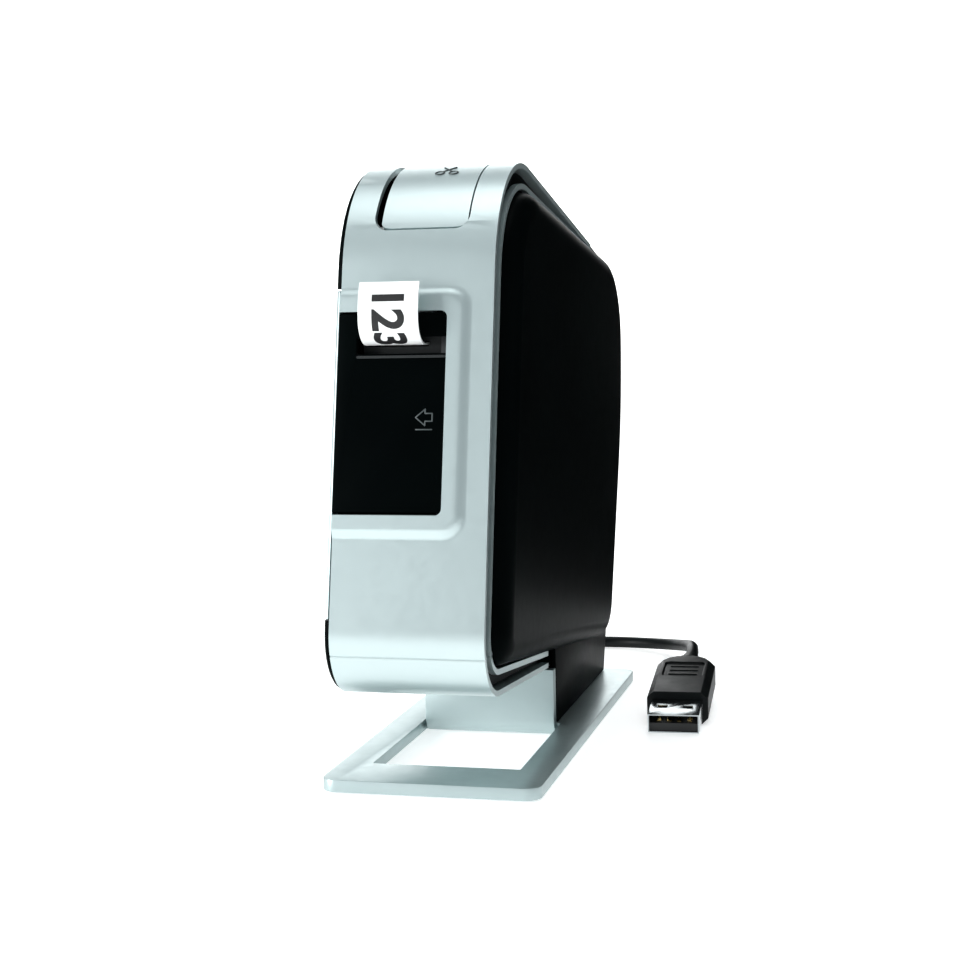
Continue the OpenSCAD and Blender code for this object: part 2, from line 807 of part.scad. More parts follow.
module exit_guide() {
    x0 = tape_x - tape_w / 2 - 1.2;
    color(black) difference() {
        union() {
            box(x0, chassis_x, blade_y - 2.6, blade_y - 0.4, tape_z - 4, tape_z + 2.4);
            box(x0, chassis_x, blade_y + blade_t + 0.3, blade_y + 2.2, tape_z - 5, tape_z - 0.5);
            box(tape_x + carrier_w / 2 + 0.3, chassis_x, blade_y - 2.6, blade_y + 2.2,
                tape_z - 5, tape_z + 2.4);
        }
        box(tape_x - tape_w / 2 - 0.3, tape_x + tape_w / 2 + 0.3, blade_y - 4, blade_y,
            tape_z - 0.5, tape_z + 0.5);
    }
}

// Power button on the sloping top, over its switch
switch_w = 6;
switch_h = 3;
switch_foot = 7.6;
module on_top() {
    translate([body_x, power_c[0], power_c[1]]) rotate([-top_tilt, 0, 0]) children();
}

module power_button() {
    color(black) on_top() {
        translate([0, 0, -3]) cylinder(d = power_d, h = 3.8);
        translate([0, 0, -3.6]) cylinder(d = power_d + 1.6, h = 0.8);
    }
}

module power_light_ring() {
    color([0.5, 0.75, 0.95]) on_top() translate([0, 0, -2]) difference() {
        cylinder(d = power_d + 3, h = 2.2);
        translate([0, 0, -1]) cylinder(d = power_d + 2 * play, h = 5);
    }
}

module power_switch() {
    color(grey) on_top() {
        translate([-switch_w / 2, -switch_w / 2, -switch_foot]) cube([switch_w, switch_w, switch_h]);
        translate([0, 0, -4.7]) cylinder(d = 3, h = 1.1 - power_travel - 0.1);
    }
}

// Chassis and electronics
module chassis() {
    shelf_x = cassette_x + 1;
    color(grey) difference() {
        union() {
            slab(chassis_x, chassis_x + chassis_t) body_shape(wall + 0.5, wall + 0.5);
            box(shelf_x, chassis_x + 0.1, cassette_y + 2, cassette_y + cassette_l, cassette_low - 1.8,
                cassette_low - 0.3);
            box(leg_screw_x[0] - 4, chassis_x + 0.1, leg_y + stand_t + gap, leg_y + stand_t + 3,
                leg_screw_z - 5, leg_screw_z + 4);
            box(chassis_x + chassis_t - 0.1, leg_screw_x[1] + 3, leg_y + stand_t + gap, leg_y + stand_t + 3,
                leg_screw_z - 5, leg_screw_z + 4);
            on_top() translate([-6, -4, -9.2]) cube([chassis_x - body_x + 6.1, 8, 1.5]);
        }
        bar(platen_c, shaft_d + 2 * run_gap, chassis_x - 1, chassis_x + chassis_t + 1);
        bar(takeup_c, shaft_d + 2 * run_gap, chassis_x - 1, chassis_x + chassis_t + 1);
        bar(motor_c, 5, chassis_x - 1, chassis_x + chassis_t + 1);
        bar(idler_c, 2, chassis_x - 1, chassis_x + chassis_t + 1);
        for (c = cover_screw_places) {
            bar(c, 2.4, chassis_x - 1, chassis_x + chassis_t + 1);
        }
        for (x = leg_screw_x) {
            translate([x, leg_y, leg_screw_z]) rotate([-90, 0, 0]) cylinder(d = screw_d, h = stand_t + 6);
        }
        box(chassis_x - 1, chassis_x + chassis_t + 1, leg_y - 0.5, leg_y + stand_t + gap, 0, leg_top + 0.5);
        box(chassis_x - 1, chassis_x + chassis_t + 1, front_y, button_end_y + 4, pin_c[1] - 4, body_h + 1);
        box(chassis_x - 1, chassis_x + chassis_t + 1, front_y, latch_y + 2.4, latch_z - 1, latch_z + 7);
        on_top() translate([0, 0, -4.8]) cylinder(d = power_d + 3, h = 8);
        on_top() translate([-switch_w / 2 - play, -switch_w / 2 - play, -switch_foot - 0.05])
            cube([switch_w + 2 * play, switch_w + 2 * play, switch_h + play]);
        box(button_mid - spring_cup_d / 2 - play, button_mid + spring_cup_d / 2 + play,
            blade_y, spring_y + spring_cup_d / 2 + play, platen_c[1] + platen_r + 1.3, pin_c[1]);
        box(button_mid - 3 - play, button_mid + 3 + play, blade_y, push_y + 1.5 + play,
            arm_z - blade_travel - 2.4 - play, pin_c[1]);
    }
}

board_y = [cassette_y + 26, back_y - 22];
board_z = [window_low - 14, body_h - 26];

module main_board() {
    face = board_x - 0.01;
    color([0.05, 0.3, 0.16]) {
        box(board_x, board_x + board_t, board_y[0], board_y[1], board_z[0], board_z[1]);
    }
    color([0.08, 0.08, 0.09]) {
        box(face - 1.4, face + 0.02, board_y[0] + 8, board_y[0] + 18, board_z[0] + 22, board_z[0] + 32);
        box(face - 1.2, face + 0.02, board_y[0] + 26, board_y[0] + 32, board_z[0] + 20, board_z[0] + 26);
        box(face - 2.2, face + 0.02, board_y[0] + 40, board_y[0] + 48, board_z[0] + 8, board_z[0] + 16);
    }
    color(white) {
        box(face - 4, face + 0.02, board_y[0] + 4, board_y[0] + 14, board_z[0] + 3, board_z[0] + 8);
        box(face - 4, face + 0.02, board_y[0] + 20, board_y[0] + 32, board_z[0] + 3, board_z[0] + 8);
    }
    color(steel) for (y = [board_y[0] + 40, board_y[0] + 50]) {
        bar([y, board_z[1] - 12], 6, face - 4.4, face + 0.02);
    }
}

module usb_board() {
    color([0.05, 0.3, 0.16]) box(-7, 7, neck_y1 - 17, neck_y1 - 2.5, port_z - 2.5, port_z - 1.5);
}

module usb_socket() {
    color(steel) difference() {
        box(-3.9, 3.9, neck_y1 - 6, port_y - 2.4, port_z - 1.45, port_z + 1.45);
        box(-3.6, 3.6, neck_y1 - 5, port_y, port_z - 1.15, port_z + 1.15);
    }
}

battery_y1 = back_y - 28;
battery_z = window_low - 12;
battery_x = door_inner_x + 1.6;

module battery_pack() {
    r = 4;
    color([0.2, 0.25, 0.5]) slab(battery_x, battery_x + battery_t)
        translate([battery_y1 - battery_l / 2, battery_z + battery_h / 2])
            rounded_rect(battery_l, battery_h, r);
}

module battery_tray() {
    x0 = battery_x + 1;
    y0 = battery_y1 - battery_l - 0.3;
    color(black) {
        box(x0, chassis_x, y0 - 1.4, battery_y1 + 1.7, battery_z - 1.7, battery_z - 0.3);
        box(x0, chassis_x, y0 - 1.4, y0, battery_z - 0.4, battery_z + 24);
        box(x0, chassis_x, battery_y1 + 0.3, battery_y1 + 1.7, battery_z - 0.4, battery_z + 24);
    }
}

// Print engine
head_w = tape_w + 0.9;

module printhead() {
    color([0.86, 0.84, 0.78]) box(tape_x - head_w / 2, tape_x + head_w / 2, train_y - 1.6, train_y + 1.4,
        tape_z - 9, tape_z - 0.35);
}

module heat_sink() {
    color([0.75, 0.76, 0.78]) {
        box(tape_x - head_w / 2, chassis_x, train_y + 1.4, train_y + 2.9, tape_z - 12, tape_z - 1);
        for (z = [tape_z - 11.5:2.4:tape_z - 3]) {
            box(tape_x - head_w / 2, tape_x + head_w / 2, train_y + 2.8, train_y + 4.8, z, z + 1);
        }
    }
}

module platen_roller() {
    color([0.15, 0.15, 0.16]) difference() {
        bar(platen_c, 2 * platen_r, tape_x - tape_w / 2 - 0.5, tape_x + tape_w / 2 + 0.5);
        bar(platen_c, shaft_d, tape_x - tape_w, tape_x + tape_w);
    }
}

module platen_shaft() {
    color(steel) bar(platen_c, shaft_d, tape_x - tape_w / 2 - 1.6, gear_x + gear_t);
}

module platen_gear() {
    color(white) gear(platen_c, platen_z, gear_x, gear_t, shaft_d, 90);
}

module drive_motor() {
    color([0.6, 0.61, 0.62]) difference() {
        union() {
            bar(motor_c, motor_d, chassis_x - motor_l, chassis_x);
            bar(motor_c, 5, chassis_x - 0.1, chassis_x + chassis_t);
        }
        bar(motor_c, 1.5 + 2 * run_gap, chassis_x - 8, chassis_x + 5);
    }
}

module motor_pinion() {
    color([0.8, 0.68, 0.35]) {
        gear(motor_c, pinion_z, gear_x + gear_step, gear_t, 1.4, 90);
        bar(motor_c, 1.5, chassis_x - 7, gear_x + gear_step + gear_t);
    }
}

module idler_gear() {
    color(white) difference() {
        union() {
            gear(idler_c, idler_big_z, gear_x + gear_step, gear_t, 2 + 2 * run_gap, 90 + 180 / idler_big_z);
            gear(idler_c, idler_small_z, gear_x, gear_t, 2 + 2 * run_gap, 90 + 180 / idler_small_z);
            bar(idler_c, 5, gear_x, gear_x + gear_step + 0.1);
        }
        bar(idler_c, 2 + 2 * run_gap, gear_x - 1, gear_x + gear_step + gear_t + 1);
    }
}

module idler_post() {
    color(steel) {
        bar(idler_c, 2, chassis_x, gear_x + gear_step + gear_t + 0.2);
        bar(idler_c, 3.4, gear_x + gear_step + gear_t + 0.15, gear_x + gear_step + gear_t + 0.5);
    }
}

module takeup_gear() {
    color(white) gear(takeup_c, takeup_z, gear_x, gear_t, shaft_d, 180 / takeup_z);
}

module takeup_spindle() {
    color(grey) bar(takeup_c, shaft_d, cassette_x + cassette_wall + 1.4, gear_x + gear_t);
}

// Tape cassette
spool_x0 = cassette_x + cassette_wall + 0.9;
spool_x1 = cassette_x + cassette_t - cassette_wall - 0.7;
hub_r = 6;
post_d = 6;

module cassette_case() {
    color([0.2, 0.2, 0.21]) difference() {
        union() {
            difference() {
                box(cassette_x + cassette_wall, cassette_x + cassette_t, cassette_y, cassette_y + cassette_l,
                    cassette_low, cassette_low + cassette_h);
                box(cassette_x - 1, cassette_x + cassette_t - cassette_wall, cassette_y + cassette_wall,
                    cassette_y + cassette_l - cassette_wall, cassette_low + cassette_wall,
                    cassette_low + cassette_h - cassette_wall);
            }
            bar(roll_c, post_d, cassette_x + cassette_wall, cassette_x + cassette_t - cassette_wall + 0.1);
            bar(supply_c, 3, cassette_x + cassette_wall, cassette_x + cassette_t - cassette_wall + 0.1);
        }
        bar(takeup_c, shaft_d + 1.5, cassette_x + 3, cassette_x + cassette_t + 1);
        box(cassette_x + cassette_wall + 1, cassette_x + cassette_t - cassette_wall, cassette_y - 1,
            cassette_y + cassette_wall + 1, tape_z - 0.8, tape_z + 0.8);
    }
}

module cassette_lid() {
    color([0.25, 0.26, 0.27]) difference() {
        box(cassette_x, cassette_x + cassette_wall, cassette_y, cassette_y + cassette_l, cassette_low,
            cassette_low + cassette_h);
        bar(roll_c, 10, cassette_x - 1, cassette_x + cassette_wall - 0.5);
    }
}

module spool(c, r, bore) {
    difference() {
        bar(c, 2 * r, spool_x0, spool_x1);
        bar(c, bore, spool_x0 - 1, spool_x1 + 1);
    }
}

module tape_roll() {
    color(white) spool(roll_c, roll_r, 2 * hub_r + 2);
}

module tape_hub() {
    color(grey) spool(roll_c, hub_r + 1, post_d + 2 * run_gap);
}

module ribbon_supply_spool() {
    color([0.1, 0.1, 0.12]) spool(supply_c, supply_r, 3 + 2 * run_gap);
}

module ribbon_takeup_spool() {
    color([0.1, 0.1, 0.12]) spool(takeup_c, takeup_r, shaft_d);
}

// Cable
module device_plug() {
    color(black) difference() {
        union() {
            translate([0, port_y + 5.3, port_z]) rotate([90, 0, 0])
                linear_extrude(10.6, center = true) rounded_rect(10.5, 6.8, 1.5);
            translate([0, port_y + 10.5, port_z]) rotate([-90, 0, 0])
                cylinder(d1 = 6, d2 = cord_d + 0.8, h = 70 - port_y - 10.5);
        }
        box(-2.9, 2.9, port_y - 1, port_y + 2, port_z - 0.8, port_z + 0.8);
    }
}

module device_plug_shell() {
    color(steel) box(-2.9, 2.9, neck_y1 - 4.5, port_y + 2, port_z - 0.8, port_z + 0.8);
}

module cord_near() {
    color(black) tube(near_route, cord_d);
}

module cord_coil() {
    w = 3 * cord_d;
    color(black) translate([coil_c[0], coil_c[1], tie_t]) rotate_extrude()
        translate([coil_r - w / 2, 0]) square([w, w]);
}

module cord_far() {
    color(black) tube(far_route, cord_d);
}

module cord_tie() {
    w = 3 * cord_d;
    lip = 0.6;
    color([0.2, 0.2, 0.2]) translate([coil_c[0] - coil_r, coil_c[1], 0]) difference() {
        translate([-w / 2 - lip, -2.5, 0]) cube([w + 2 * lip, 5, w + tie_t + lip]);
        intersection() {
            translate([coil_r, 0, tie_t - 0.05]) rotate_extrude()
                translate([coil_r - w / 2 - 0.05, 0]) square(w + 0.1);
            translate([-w / 2 - lip - 1, -3, -1]) cube([w + 2 * lip + 2, 6, w + 3]);
        }
    }
}

module at_plug() {
    translate(plug_tail) rotate([0, 0, plug_turn]) rotate([plug_tilt, 0, 0]) children();
}

module usb_overmould() {
    back = relief_l;
    shoulder = back + 12;
    color(black) at_plug() {
        translate([0, 0, -plug_h / 2]) linear_extrude(plug_h) polygon([
            [-plug_w / 2, -plug_l + 1], [-plug_w / 2 + 1, -plug_l], [plug_w / 2 - 1, -plug_l],
            [plug_w / 2, -plug_l + 1], [plug_w / 2, -shoulder], [plug_w / 2 - 0.8, -shoulder + 5],
            [plug_w / 2 - 2.6, -back], [-plug_w / 2 + 2.6, -back], [-plug_w / 2 + 0.8, -shoulder + 5],
            [-plug_w / 2, -shoulder]]);
        translate([0, -0.3, 0]) rotate([90, 0, 0]) cylinder(d1 = cord_d + 0.8, d2 = 6.4, h = relief_l - 0.2);
    }
}

module usb_shell() {
    color(steel) at_plug() translate([0, -plug_l - shell_l, 0]) difference() {
        translate([-shell_w / 2, 0, -shell_h / 2]) cube([shell_w, shell_l, shell_h]);
        translate([-shell_w / 2 + shell_wall, -1, -shell_h / 2 + shell_wall])
            cube([shell_w - 2 * shell_wall, shell_l + 2, shell_h - 2 * shell_wall]);
        for (x = [-3, 3]) {
            translate([x - 1.1, 5.2, 0]) cube([2.2, 2.2, shell_h]);
        }
    }
}

module usb_tongue() {
    color([0.1, 0.1, 0.1]) at_plug() translate([-shell_w / 2 + shell_wall, -plug_l - shell_l + 0.6,
        -shell_h / 2 + shell_wall]) cube([shell_w - 2 * shell_wall, shell_l - 0.6, 1.9]);
}

module usb_contacts() {
    z = -shell_h / 2 + shell_wall + 1.9;
    color([0.85, 0.7, 0.35]) at_plug() for (k = [0:3]) {
        translate([-4.1 + 2.4 * k, -plug_l - shell_l + 2, z]) cube([1, shell_l - 3, 0.15]);
    }
}

stand_plate();
foot_pads();
stand_screws();
neck_housing();
neck_screws();
front_band();
rear_shell();
right_cover();
left_cover();
chassis();
cover_screws();
door_panel();
door_rim();
door_window();
door_hinge_pins();
door_latch();
cutter_button();
cutter_pin();
cutter_guide();
blade_carrier();
cutter_blade();
cutter_spring();
label_strip();
power_button();
power_light_ring();
power_switch();
main_board();
usb_board();
usb_socket();
battery_pack();
battery_tray();
printhead();
heat_sink();
platen_roller();
platen_shaft();
platen_gear();
exit_guide();
drive_motor();
motor_pinion();
idler_gear();
idler_post();
takeup_gear();
takeup_spindle();
cassette_case();
cassette_lid();
tape_roll();
tape_hub();
ribbon_supply_spool();
ribbon_takeup_spool();
device_plug();
device_plug_shell();
cord_near();
cord_coil();
cord_far();
cord_tie();
usb_overmould();
usb_shell();
usb_tongue();
usb_contacts();
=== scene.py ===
import json
import math
import bmesh
import bpy
from mathutils import Matrix, Vector

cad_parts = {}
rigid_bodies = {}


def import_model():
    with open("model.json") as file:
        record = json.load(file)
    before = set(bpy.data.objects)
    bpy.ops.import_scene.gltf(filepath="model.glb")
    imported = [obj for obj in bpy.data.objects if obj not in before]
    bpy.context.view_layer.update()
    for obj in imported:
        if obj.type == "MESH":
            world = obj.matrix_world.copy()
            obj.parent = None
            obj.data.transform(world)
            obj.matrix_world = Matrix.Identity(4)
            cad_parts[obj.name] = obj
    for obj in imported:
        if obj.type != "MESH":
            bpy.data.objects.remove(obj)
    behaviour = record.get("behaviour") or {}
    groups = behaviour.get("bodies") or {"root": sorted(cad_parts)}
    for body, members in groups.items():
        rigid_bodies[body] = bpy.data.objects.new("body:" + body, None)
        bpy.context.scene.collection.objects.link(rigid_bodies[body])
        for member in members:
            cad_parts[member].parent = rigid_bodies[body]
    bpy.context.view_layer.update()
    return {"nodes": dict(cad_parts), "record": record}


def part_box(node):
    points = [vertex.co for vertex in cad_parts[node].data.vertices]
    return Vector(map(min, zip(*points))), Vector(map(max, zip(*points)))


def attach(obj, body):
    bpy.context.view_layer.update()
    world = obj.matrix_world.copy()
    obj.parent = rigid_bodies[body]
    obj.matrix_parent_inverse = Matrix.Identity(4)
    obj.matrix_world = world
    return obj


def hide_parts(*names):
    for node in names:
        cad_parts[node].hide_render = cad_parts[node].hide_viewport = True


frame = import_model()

mm = 0.001
housing = "housing"
nodes = frame["nodes"]
slotOf = {part["node"]: part["material_slot"] for part in frame["record"]["subparts"]}
scene = bpy.context.scene
scene.view_settings.view_transform = "Standard"
scene.view_settings.look = "Medium High Contrast"


# camera
view = {
    "place": (100.54, -417.56, 100.92),  # millimetres in the desk frame
    "lens": 67.52,
    "sensor": 36,
    "turn": 14.161,  # degrees, towards the left of the desk
    "dip": 5.554,
    "roll": -1.207,
}


def addCamera():
    turn, dip, roll = [math.radians(view[key]) for key in ("turn", "dip", "roll")]
    ahead = Vector((-math.sin(turn) * math.cos(dip), math.cos(turn) * math.cos(dip), -math.sin(dip)))
    side = Vector((math.cos(turn), math.sin(turn), 0))
    up = side.cross(ahead)
    right = math.cos(roll) * side + math.sin(roll) * up
    top = math.cos(roll) * up - math.sin(roll) * side
    bpy.ops.object.camera_add()
    cam = bpy.context.object
    cam.name = "studioCamera"
    cam.data.lens = view["lens"]
    cam.data.sensor_width = view["sensor"]
    cam.data.clip_start = 0.01
    turned = Matrix((right, top, -ahead)).transposed().to_4x4()
    cam.matrix_world = Matrix.Translation(Vector(view["place"]) * mm) @ turned
    scene.camera = cam


bpy.ops.object.select_all(action="DESELECT")
addCamera()
print("camera placed")


# materials
def newMaterial(name):
    material = bpy.data.materials.new(name)
    material.use_nodes = True
    tree = material.node_tree
    shader = tree.nodes["Principled BSDF"]
    place = tree.nodes.new("ShaderNodeTexCoord")
    return material, tree, shader, place.outputs["Object"]


def addNoise(tree, where, scale, detail=3.0, stretch=(1, 1, 1)):
    mapping = tree.nodes.new("ShaderNodeMapping")
    mapping.inputs["Scale"].default_value = stretch
    tree.links.new(where, mapping.inputs["Vector"])
    noise = tree.nodes.new("ShaderNodeTexNoise")
    noise.inputs["Scale"].default_value = scale
    noise.inputs["Detail"].default_value = detail
    tree.links.new(mapping.outputs["Vector"], noise.inputs["Vector"])
    return noise.outputs["Fac"]


def spread(tree, value, low, high):
    span = tree.nodes.new("ShaderNodeMapRange")
    span.inputs["From Min"].default_value = 0.3
    span.inputs["From Max"].default_value = 0.7
    span.inputs["To Min"].default_value = low
    span.inputs["To Max"].default_value = high
    tree.links.new(value, span.inputs["Value"])
    return span.outputs["Result"]


def tint(tree, value, dark, light):
    ramp = tree.nodes.new("ShaderNodeValToRGB")
    ramp.color_ramp.elements[0].position = 0.35
    ramp.color_ramp.elements[0].color = (*dark, 1)
    ramp.color_ramp.elements[1].position = 0.65
    ramp.color_ramp.elements[1].color = (*light, 1)
    tree.links.new(value, ramp.inputs["Fac"])
    return ramp.outputs["Color"]


def addBump(tree, height, strength, depth):
    bump = tree.nodes.new("ShaderNodeBump")
    bump.inputs["Strength"].default_value = strength
    bump.inputs["Distance"].default_value = depth
    tree.links.new(height, bump.inputs["Height"])
    return bump.outputs["Normal"]


# dark and light tone, low and high roughness, metal, gloss level, grain per metre, grain depth, clear coat
finishes = {
    "silver_paint": dict(tones=((0.56, 0.65, 0.655), (0.575, 0.665, 0.67)), rough=(0.35, 0.38), metal=0.75,
                         grain=5200, depth=0.010, coat=0.12),
    "silver_plate": dict(tones=((0.44, 0.52, 0.525), (0.48, 0.56, 0.565)), rough=(0.36, 0.44), metal=0.8,
                         grain=4200, depth=0.016, coat=0.05),
    "gloss_black": dict(tones=((0.0014, 0.0028, 0.003), (0.002, 0.0038, 0.004)), rough=(0.37, 0.39),
                        gloss=0.02, grain=3800, depth=0.004),
    "matte_black": dict(tones=((0.010, 0.013, 0.014), (0.018, 0.022, 0.023)), rough=(0.48, 0.60),
                        gloss=0.4, grain=2600, depth=0.03),
    "cord_black": dict(tones=((0.004, 0.006, 0.0065), (0.007, 0.010, 0.0105)), rough=(0.40, 0.48),
                       gloss=0.25, grain=1800, depth=0.02),
    "tie_black": dict(tones=((0.02, 0.02, 0.02), (0.03, 0.03, 0.03)), rough=(0.5, 0.6), grain=1500,
                      depth=0.03),
    "smoked_lid": dict(tones=((0.02, 0.024, 0.028), (0.035, 0.04, 0.045)), rough=(0.16, 0.24), gloss=0.5,
                       grain=900, depth=0.005, coat=0.3),
    "frame_grey": dict(tones=((0.05, 0.052, 0.055), (0.07, 0.073, 0.076)), rough=(0.5, 0.6), grain=2200,
                       depth=0.02),
    "foot_rubber": dict(tones=((0.018, 0.018, 0.018), (0.03, 0.03, 0.03)), rough=(0.7, 0.85), gloss=0.3,
                        grain=1500, depth=0.05),
    "roller_rubber": dict(tones=((0.025, 0.025, 0.027), (0.04, 0.04, 0.043)), rough=(0.6, 0.75),
                          grain=2600, depth=0.03),
    "screw_steel": dict(tones=((0.48, 0.49, 0.5), (0.58, 0.58, 0.59)), rough=(0.25, 0.38), metal=1.0,
                        grain=900, depth=0.01, stretch=(1, 1, 14)),
    "plated_steel": dict(tones=((0.42, 0.45, 0.46), (0.50, 0.53, 0.54)), rough=(0.14, 0.24), metal=1.0,
                         grain=500, depth=0.006, stretch=(14, 1, 14)),
    "motor_steel": dict(tones=((0.42, 0.42, 0.43), (0.52, 0.52, 0.53)), rough=(0.3, 0.42), metal=1.0,
                        grain=700, depth=0.01, stretch=(1, 8, 8)),
    "pinion_brass": dict(tones=((0.56, 0.40, 0.15), (0.66, 0.49, 0.2)), rough=(0.22, 0.34), metal=1.0,
                         grain=1200, depth=0.01),
    "contact_gold": dict(tones=((0.72, 0.52, 0.18), (0.82, 0.62, 0.25)), rough=(0.18, 0.28), metal=1.0,
                         grain=1500, depth=0.006),
    "tongue_black": dict(tones=((0.015, 0.016, 0.017), (0.025, 0.026, 0.027)), rough=(0.45, 0.55),
                         grain=2400, depth=0.02),
    "gear_white": dict(tones=((0.72, 0.72, 0.68), (0.80, 0.80, 0.77)), rough=(0.42, 0.52), grain=2000,
                       depth=0.015),
    "label_white": dict(tones=((0.86, 0.88, 0.87), (0.90, 0.915, 0.91)), rough=(0.34, 0.42), grain=2600,
                        depth=0.006, coat=0.1),
    "ribbon_black": dict(tones=((0.012, 0.012, 0.014), (0.024, 0.024, 0.028)), rough=(0.25, 0.4),
                         grain=3000, depth=0.02, stretch=(0.1, 1, 1)),
    "light_ring": dict(tones=((0.34, 0.50, 0.62), (0.42, 0.58, 0.70)), rough=(0.3, 0.4), grain=900,
                       depth=0.005, through=0.25),
    "cell_wrap": dict(tones=((0.06, 0.09, 0.22), (0.09, 0.12, 0.28)), rough=(0.22, 0.36), grain=160,
                      depth=0.12),
    "head_ceramic": dict(tones=((0.68, 0.64, 0.54), (0.78, 0.74, 0.64)), rough=(0.4, 0.5), grain=1400,
                         depth=0.01),
    "sink_alloy": dict(tones=((0.52, 0.53, 0.54), (0.62, 0.63, 0.64)), rough=(0.38, 0.5), metal=1.0,
                       grain=3200, depth=0.03),
    "print_black": dict(tones=((0.010, 0.010, 0.011), (0.016, 0.016, 0.017)), rough=(0.45, 0.55),
                        grain=3000, depth=0.004),
    "icon_grey": dict(tones=((0.055, 0.068, 0.07), (0.075, 0.09, 0.092)), rough=(0.4, 0.5), grain=3000,
                      depth=0.004),
}


def makeFinish(name, tones, rough, metal=0.0, gloss=0.5, grain=2000, depth=0.01, coat=0.0, through=0.0,
               stretch=(1, 1, 1)):
    material, tree, shader, where = newMaterial(name)
    shader.inputs["Metallic"].default_value = metal
    shader.inputs["Specular IOR Level"].default_value = gloss
    shader.inputs["Coat Weight"].default_value = coat
    shader.inputs["Coat Roughness"].default_value = 0.25
    shader.inputs["Transmission Weight"].default_value = through
    cloud = addNoise(tree, where, 42, 2.0)
    tree.links.new(tint(tree, cloud, *tones), shader.inputs["Base Color"])
    fine = addNoise(tree, where, grain, 2.0, stretch)
    patch = addNoise(tree, where, grain / 9, 3.0, stretch)
    tree.links.new(spread(tree, patch, *rough), shader.inputs["Roughness"])
    tree.links.new(addBump(tree, fine, 0.35, depth * mm), shader.inputs["Normal"])
    return material


def makeBoard():
    material, tree, shader, where = newMaterial("board_green")
    grid = tree.nodes.new("ShaderNodeTexBrick")
    mapping = tree.nodes.new("ShaderNodeMapping")
    mapping.inputs["Rotation"].default_value = (0, math.radians(90), 0)
    tree.links.new(where, mapping.inputs["Vector"])
    tree.links.new(mapping.outputs["Vector"], grid.inputs["Vector"])
    grid.inputs["Scale"].default_value = 160
    grid.inputs["Mortar Size"].default_value = 0.06
    grid.inputs["Color1"].default_value = (0.020, 0.110, 0.055, 1)
    grid.inputs["Color2"].default_value = (0.026, 0.130, 0.066, 1)
    grid.inputs["Mortar"].default_value = (0.050, 0.210, 0.110, 1)
    tree.links.new(grid.outputs["Color"], shader.inputs["Base Color"])
    cloud = addNoise(tree, where, 300)
    tree.links.new(spread(tree, cloud, 0.28, 0.4), shader.inputs["Roughness"])
    tree.links.new(addBump(tree, grid.outputs["Fac"], 0.3, 0.02 * mm), shader.inputs["Normal"])
    return material


looks = {name: makeFinish(name, **values) for name, values in finishes.items()}
looks["board_green"] = makeBoard()


def dress(thing, name):
    thing.data.materials.clear()
    thing.data.materials.append(looks[name])


for name, node in nodes.items():
    for index in range(max(1, len(node.material_slots))):
        if not node.material_slots:
            node.data.materials.append(looks[slotOf[name]])
        node.material_slots[index].material = looks[slotOf[name]]
print("materials made")


def settle(piece, body, slot, *replaced):
    dress(piece, slot)
    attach(piece, body)
    if replaced:
        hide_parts(*replaced)
    return piece


def pick(thing):
    bpy.ops.object.select_all(action="DESELECT")
    thing.select_set(True)
    bpy.context.view_layer.objects.active = thing


def softened(name, pieceName, width, segments=3, angle=32):
    # copy of a CAD piece with its points merged and its sharp edges rounded
    source = nodes[name]
    copy = bpy.data.objects.new(pieceName, source.data.copy())
    scene.collection.objects.link(copy)
    pick(copy)
    bpy.ops.object.mode_set(mode="EDIT")
    bpy.ops.mesh.select_all(action="SELECT")
    bpy.ops.mesh.remove_doubles(threshold=0.004 * mm)
    bpy.ops.mesh.dissolve_limited(angle_limit=math.radians(1))
    bpy.ops.object.mode_set(mode="OBJECT")
    bevel = copy.modifiers.new("edges", "BEVEL")
    bevel.width = width * mm
    bevel.segments = segments
    bevel.limit_method = "ANGLE"
    bevel.angle_limit = math.radians(angle)
    bpy.ops.object.modifier_apply(modifier="edges")
    bpy.ops.object.shade_smooth_by_angle(angle=math.radians(angle))
    return copy


# cable
cable = {
    "diameter": 3.2,
    "near": [(0, 70, 7.6), (0, 75, 7.6), (-0.6, 80, 7.4), (-1.9, 85, 7), (-3.8, 90, 6.6), (-5.8, 95, 6.2),
             (-7.4, 100, 5.8)],
    "far": [(-17, 91.6, 1.8), (-10, 92.8, 1.7), (-2, 95, 1.7), (6, 96.8, 1.7), (13, 96.6, 1.8),
            (20, 94, 2.2), (26.6, 89, 3), (31.6, 82, 4.2), (35.2, 73, 5.8), (37.4, 64, 7.2),
            (38.6, 56, 7.9), (39.3, 50, 8), (39.5, 46.5, 7.8)],
    "middle": (-30, 112),  # centre of the coil
    "radii": (14.3, 17.5, 20.7),
    "layers": (2.15, 5.3, 8.45),
    "turnSlots": [(2, 1), (2, 2), (1, 2), (0, 2), (0, 1), (0, 0), (1, 0), (1, 1), (2, 0)],  # (radius, layer)
    "pointsPerTurn": 24,
    "shift": 24,  # degrees over which a turn moves to its next place
}


def coilPoints():
    cx, cy = cable["middle"]
    steps = cable["pointsPerTurn"]
    places = []
    last = 360 * (len(cable["turnSlots"]) - 2) + 180 + 90
    for step in range(1, int(last / 360 * steps)):
        angle = 360 * step / steps
        index, into = divmod(angle - 180 + cable["shift"] / 2, 360)
        index = int(index) + 1
        here = cable["turnSlots"][min(index, len(cable["turnSlots"]) - 1)]
        before = cable["turnSlots"][max(index - 1, 0)]
        part = min(1, into / cable["shift"]) if index > 0 else 1
        part = part * part * (3 - 2 * part)
        radius = cable["radii"][before[0]] * (1 - part) + cable["radii"][here[0]] * part
        height = cable["layers"][before[1]] * (1 - part) + cable["layers"][here[1]] * part
        turn = math.radians(angle)
        places.append((cx + radius * math.cos(turn), cy + radius * math.sin(turn), height))
    return places


